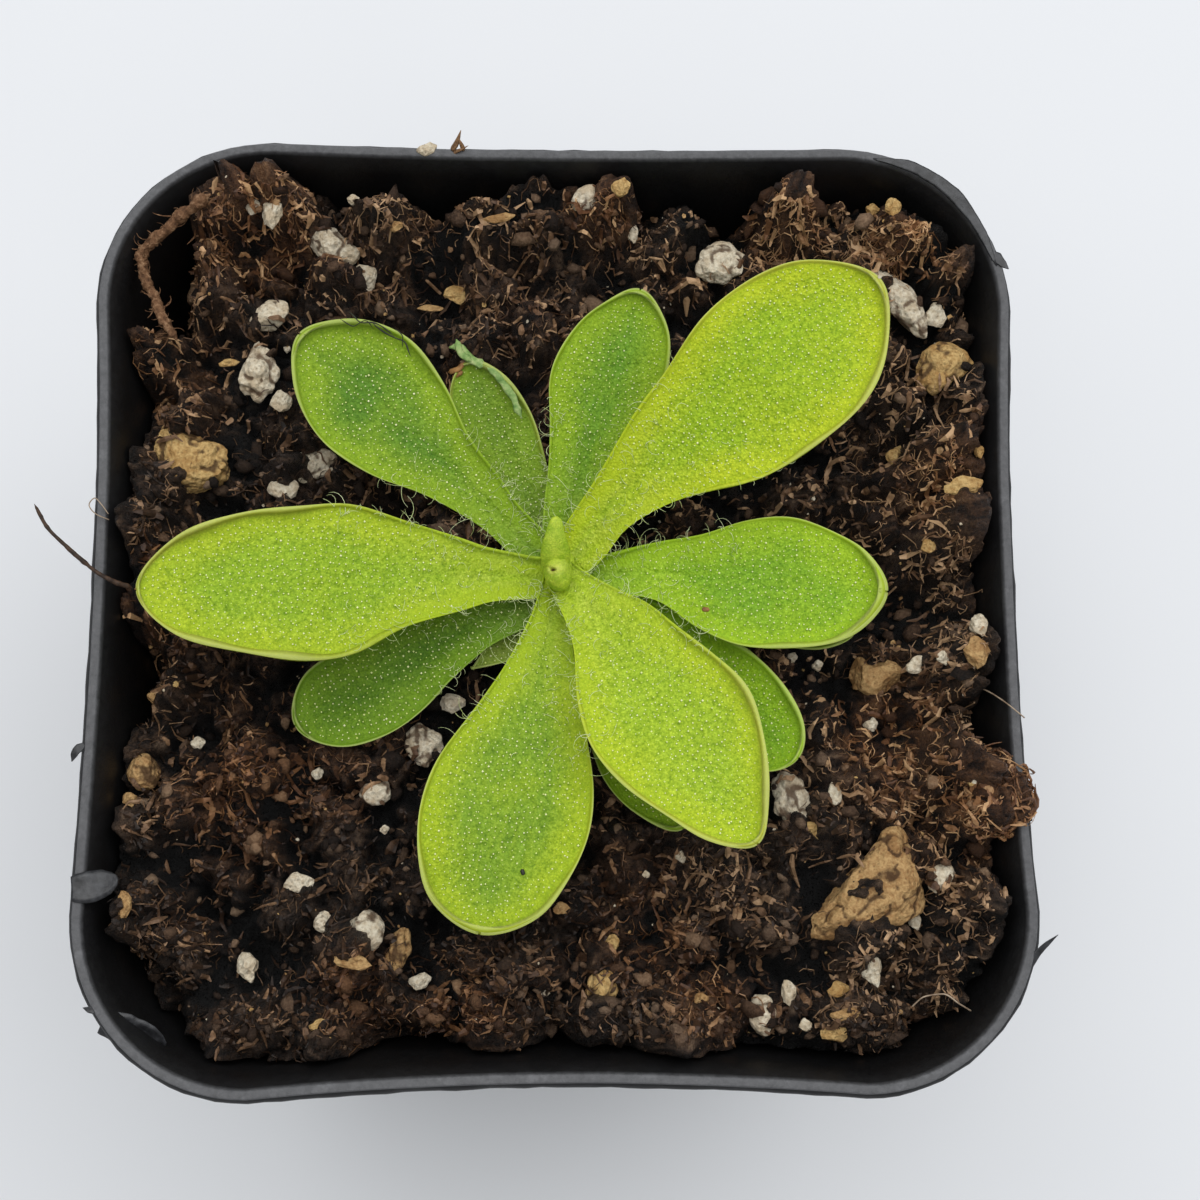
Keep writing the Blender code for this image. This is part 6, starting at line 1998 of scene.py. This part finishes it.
def make_small_grains(materials, ceiling):
    """Placed small grains and fine scattered bits, one piece for each colour."""
    draw = np.random.default_rng(151)
    rows = small_grain_rows(draw)
    large = stone_shapes(10, 3, 0.66)
    small = stone_shapes(8, 1, 0.70)
    x, y, wide, long = (np.array([row[place] for row in rows]) for place in (1, 2, 3, 4))
    flat = np.minimum(wide, long) * draw.uniform(0.55, 0.9, len(rows))
    placed = np.arange(len(rows)) < len(SMALL_GRAINS)
    z = soil_surface(x, y, ceiling) + 0.35 * flat
    z = np.where(placed, np.maximum(z, RIM_Z + soil_form(x, y) - 0.3), z)
    z = np.minimum(z, ceiling.over(x, y) - flat - 0.2)
    inside = Wall().inside(x, y, z, 0.4) & ~(grain_cover(x, y, 0.0) & ~placed)
    for kind in GRAIN_KINDS:
        parts, clefts = [], []
        for index, row in enumerate(rows):
            if row[0] != kind or not inside[index]:
                continue
            shape, shape_faces = (large if placed[index] else small)[index % 8]
            turn = draw.uniform(-0.2, 0.2) if placed[index] else draw.uniform(0, math.pi)
            local = shape * np.array([wide[index], long[index], flat[index]])
            px, py = turned(local[:, 0], local[:, 1], turn, (x[index], y[index]))
            parts.append((np.column_stack([px, py, z[index] + local[:, 2]]), shape_faces))
            clefts.append(np.clip(1.1 - np.linalg.norm(shape, axis=1), 0, 1))
        points, faces = joined(parts)
        make_piece("small_grains_" + kind, points, faces, materials[kind],
                   {"cleft": np.concatenate(clefts)}, smooth=False)


def make_bark(name, radius, points, material):
    """Knobbly bark of a root or twig that replaces its plain solid."""
    thick = radius > THICK_ROOT
    path = smooth_path(points, 150)
    if thick:
        path += 0.16 * np.column_stack([smooth_noise(path, 1.3, seed) for seed in (7, 8, 9)])
    share = np.linspace(0, 1, len(path))
    radii = radius * (1.12 + 0.24 * smooth_noise(path, 0.7, 12)) * (1.0 - 0.28 * share)
    radii *= np.clip(np.minimum(share, 1 - share) * 30.0, 0.25, 1.0)
    sides = 14
    surface, faces = tube_mesh(path[None], radii[None], sides)
    away = surface - np.repeat(path, sides, axis=0)
    rough = layered_noise(surface, 0.30, 15, 3) * (0.28 if thick else 0.12)
    piece = make_piece(name + "_bark", surface + away * rough[:, None], faces, material)
    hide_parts(name)


def make_rootlets(material):
    """Fine curled rootlets along the bent root."""
    draw = np.random.default_rng(163)
    route = smooth_path(TWIGS["root_bent"][1], 90)
    starts = route[draw.integers(4, 88, ROOTLETS)] + draw.normal(0, 0.22, (ROOTLETS, 3))
    heading = unit_rows(draw.normal(0, 1, (ROOTLETS, 3)) * np.array([1.0, 1.0, 0.35]))
    paths = curl_paths(draw, starts, heading, len(ROOTLET_PROFILE))
    radii = draw.uniform(0.03, 0.07, (ROOTLETS, 1)) * np.array(ROOTLET_PROFILE)[None, :]
    points, faces = tube_mesh(paths, radii, 4)
    make_piece("rootlets", points, faces, material)


def strand_tube(radius, rough):
    """One fine strand, as points and faces."""
    path = smooth_path(rough, 30)
    return tube_mesh(path[None], np.full((1, len(path)), radius), 5)


def make_twigs():
    """Bent root, overhanging twig and a few fine strands."""
    bark = mottled("root_bark")
    dark = mottled("twig_dark")
    for name, (radius, points) in TWIGS.items():
        make_bark(name, radius, points, bark if radius > THICK_ROOT else dark)
    make_rootlets(bark)
    points, faces = joined([strand_tube(*strand) for strand in FINE_STRANDS])
    make_piece("fine_strands", points, faces, mottled("strand_pale"))


def make_stage():
    """Plain pale floor."""
    bpy.ops.mesh.primitive_plane_add(size=4.0, location=(0, 0, 0))
    floor = bpy.context.object
    floor.name = "floor"
    floor.data.materials.append(mottled("floor_pale"))


def make_camera():
    """Camera above the near side, looking almost straight down."""
    data = bpy.data.cameras.new("camera")
    data.angle = 2.0 * math.atan(HALF_PICTURE / FOCAL_LENGTH)
    data.clip_start = 0.01
    data.clip_end = 10.0
    camera = bpy.data.objects.new("camera", data)
    bpy.context.collection.objects.link(camera)
    camera.location = [v * MM for v in CAMERA_PLACE]
    camera.rotation_euler = Euler([math.radians(v) for v in CAMERA_TURN], "XYZ")
    bpy.context.scene.camera = camera


def add_area(name, place, target, size, power, color):
    """Soft rectangular light aimed at a point."""
    data = bpy.data.lights.new(name, "AREA")
    data.shape = "RECTANGLE"
    data.size, data.size_y = size
    data.energy = power
    data.color = color
    lamp = bpy.data.objects.new(name, data)
    bpy.context.collection.objects.link(lamp)
    lamp.location = place
    aim = Vector(target) - Vector(place)
    lamp.rotation_euler = aim.to_track_quat("-Z", "Y").to_euler()


def make_light():
    """Soft daylight from above and the far side."""
    world = bpy.data.worlds.new("studio")
    bpy.context.scene.world = world
    world.use_nodes = True
    background = world.node_tree.nodes["Background"]
    background.inputs["Color"].default_value = SKY_COLOR
    background.inputs["Strength"].default_value = SKY_STRENGTH
    for lamp in LAMPS:
        add_area(*lamp)
    scene = bpy.context.scene
    scene.view_settings.view_transform = "Standard"
    scene.view_settings.look = "None"
    scene.view_settings.exposure = 0.0


def build():
    """Make every piece, the light and the camera."""
    make_camera()
    make_stage()
    make_light()
    wall = Wall()
    ceiling = Ceiling()
    make_pot()
    make_scraps()
    make_soil(wall, ceiling)
    make_crumbs(wall, ceiling)
    make_fibres(wall, ceiling)
    make_rim_clump()
    make_grains(ceiling)
    make_twigs()
    for name, leaf in LEAVES.items():
        make_leaf(name, leaf)
    make_crown()
    make_glands()
    make_hairs()
    make_leaf_marks()


build()
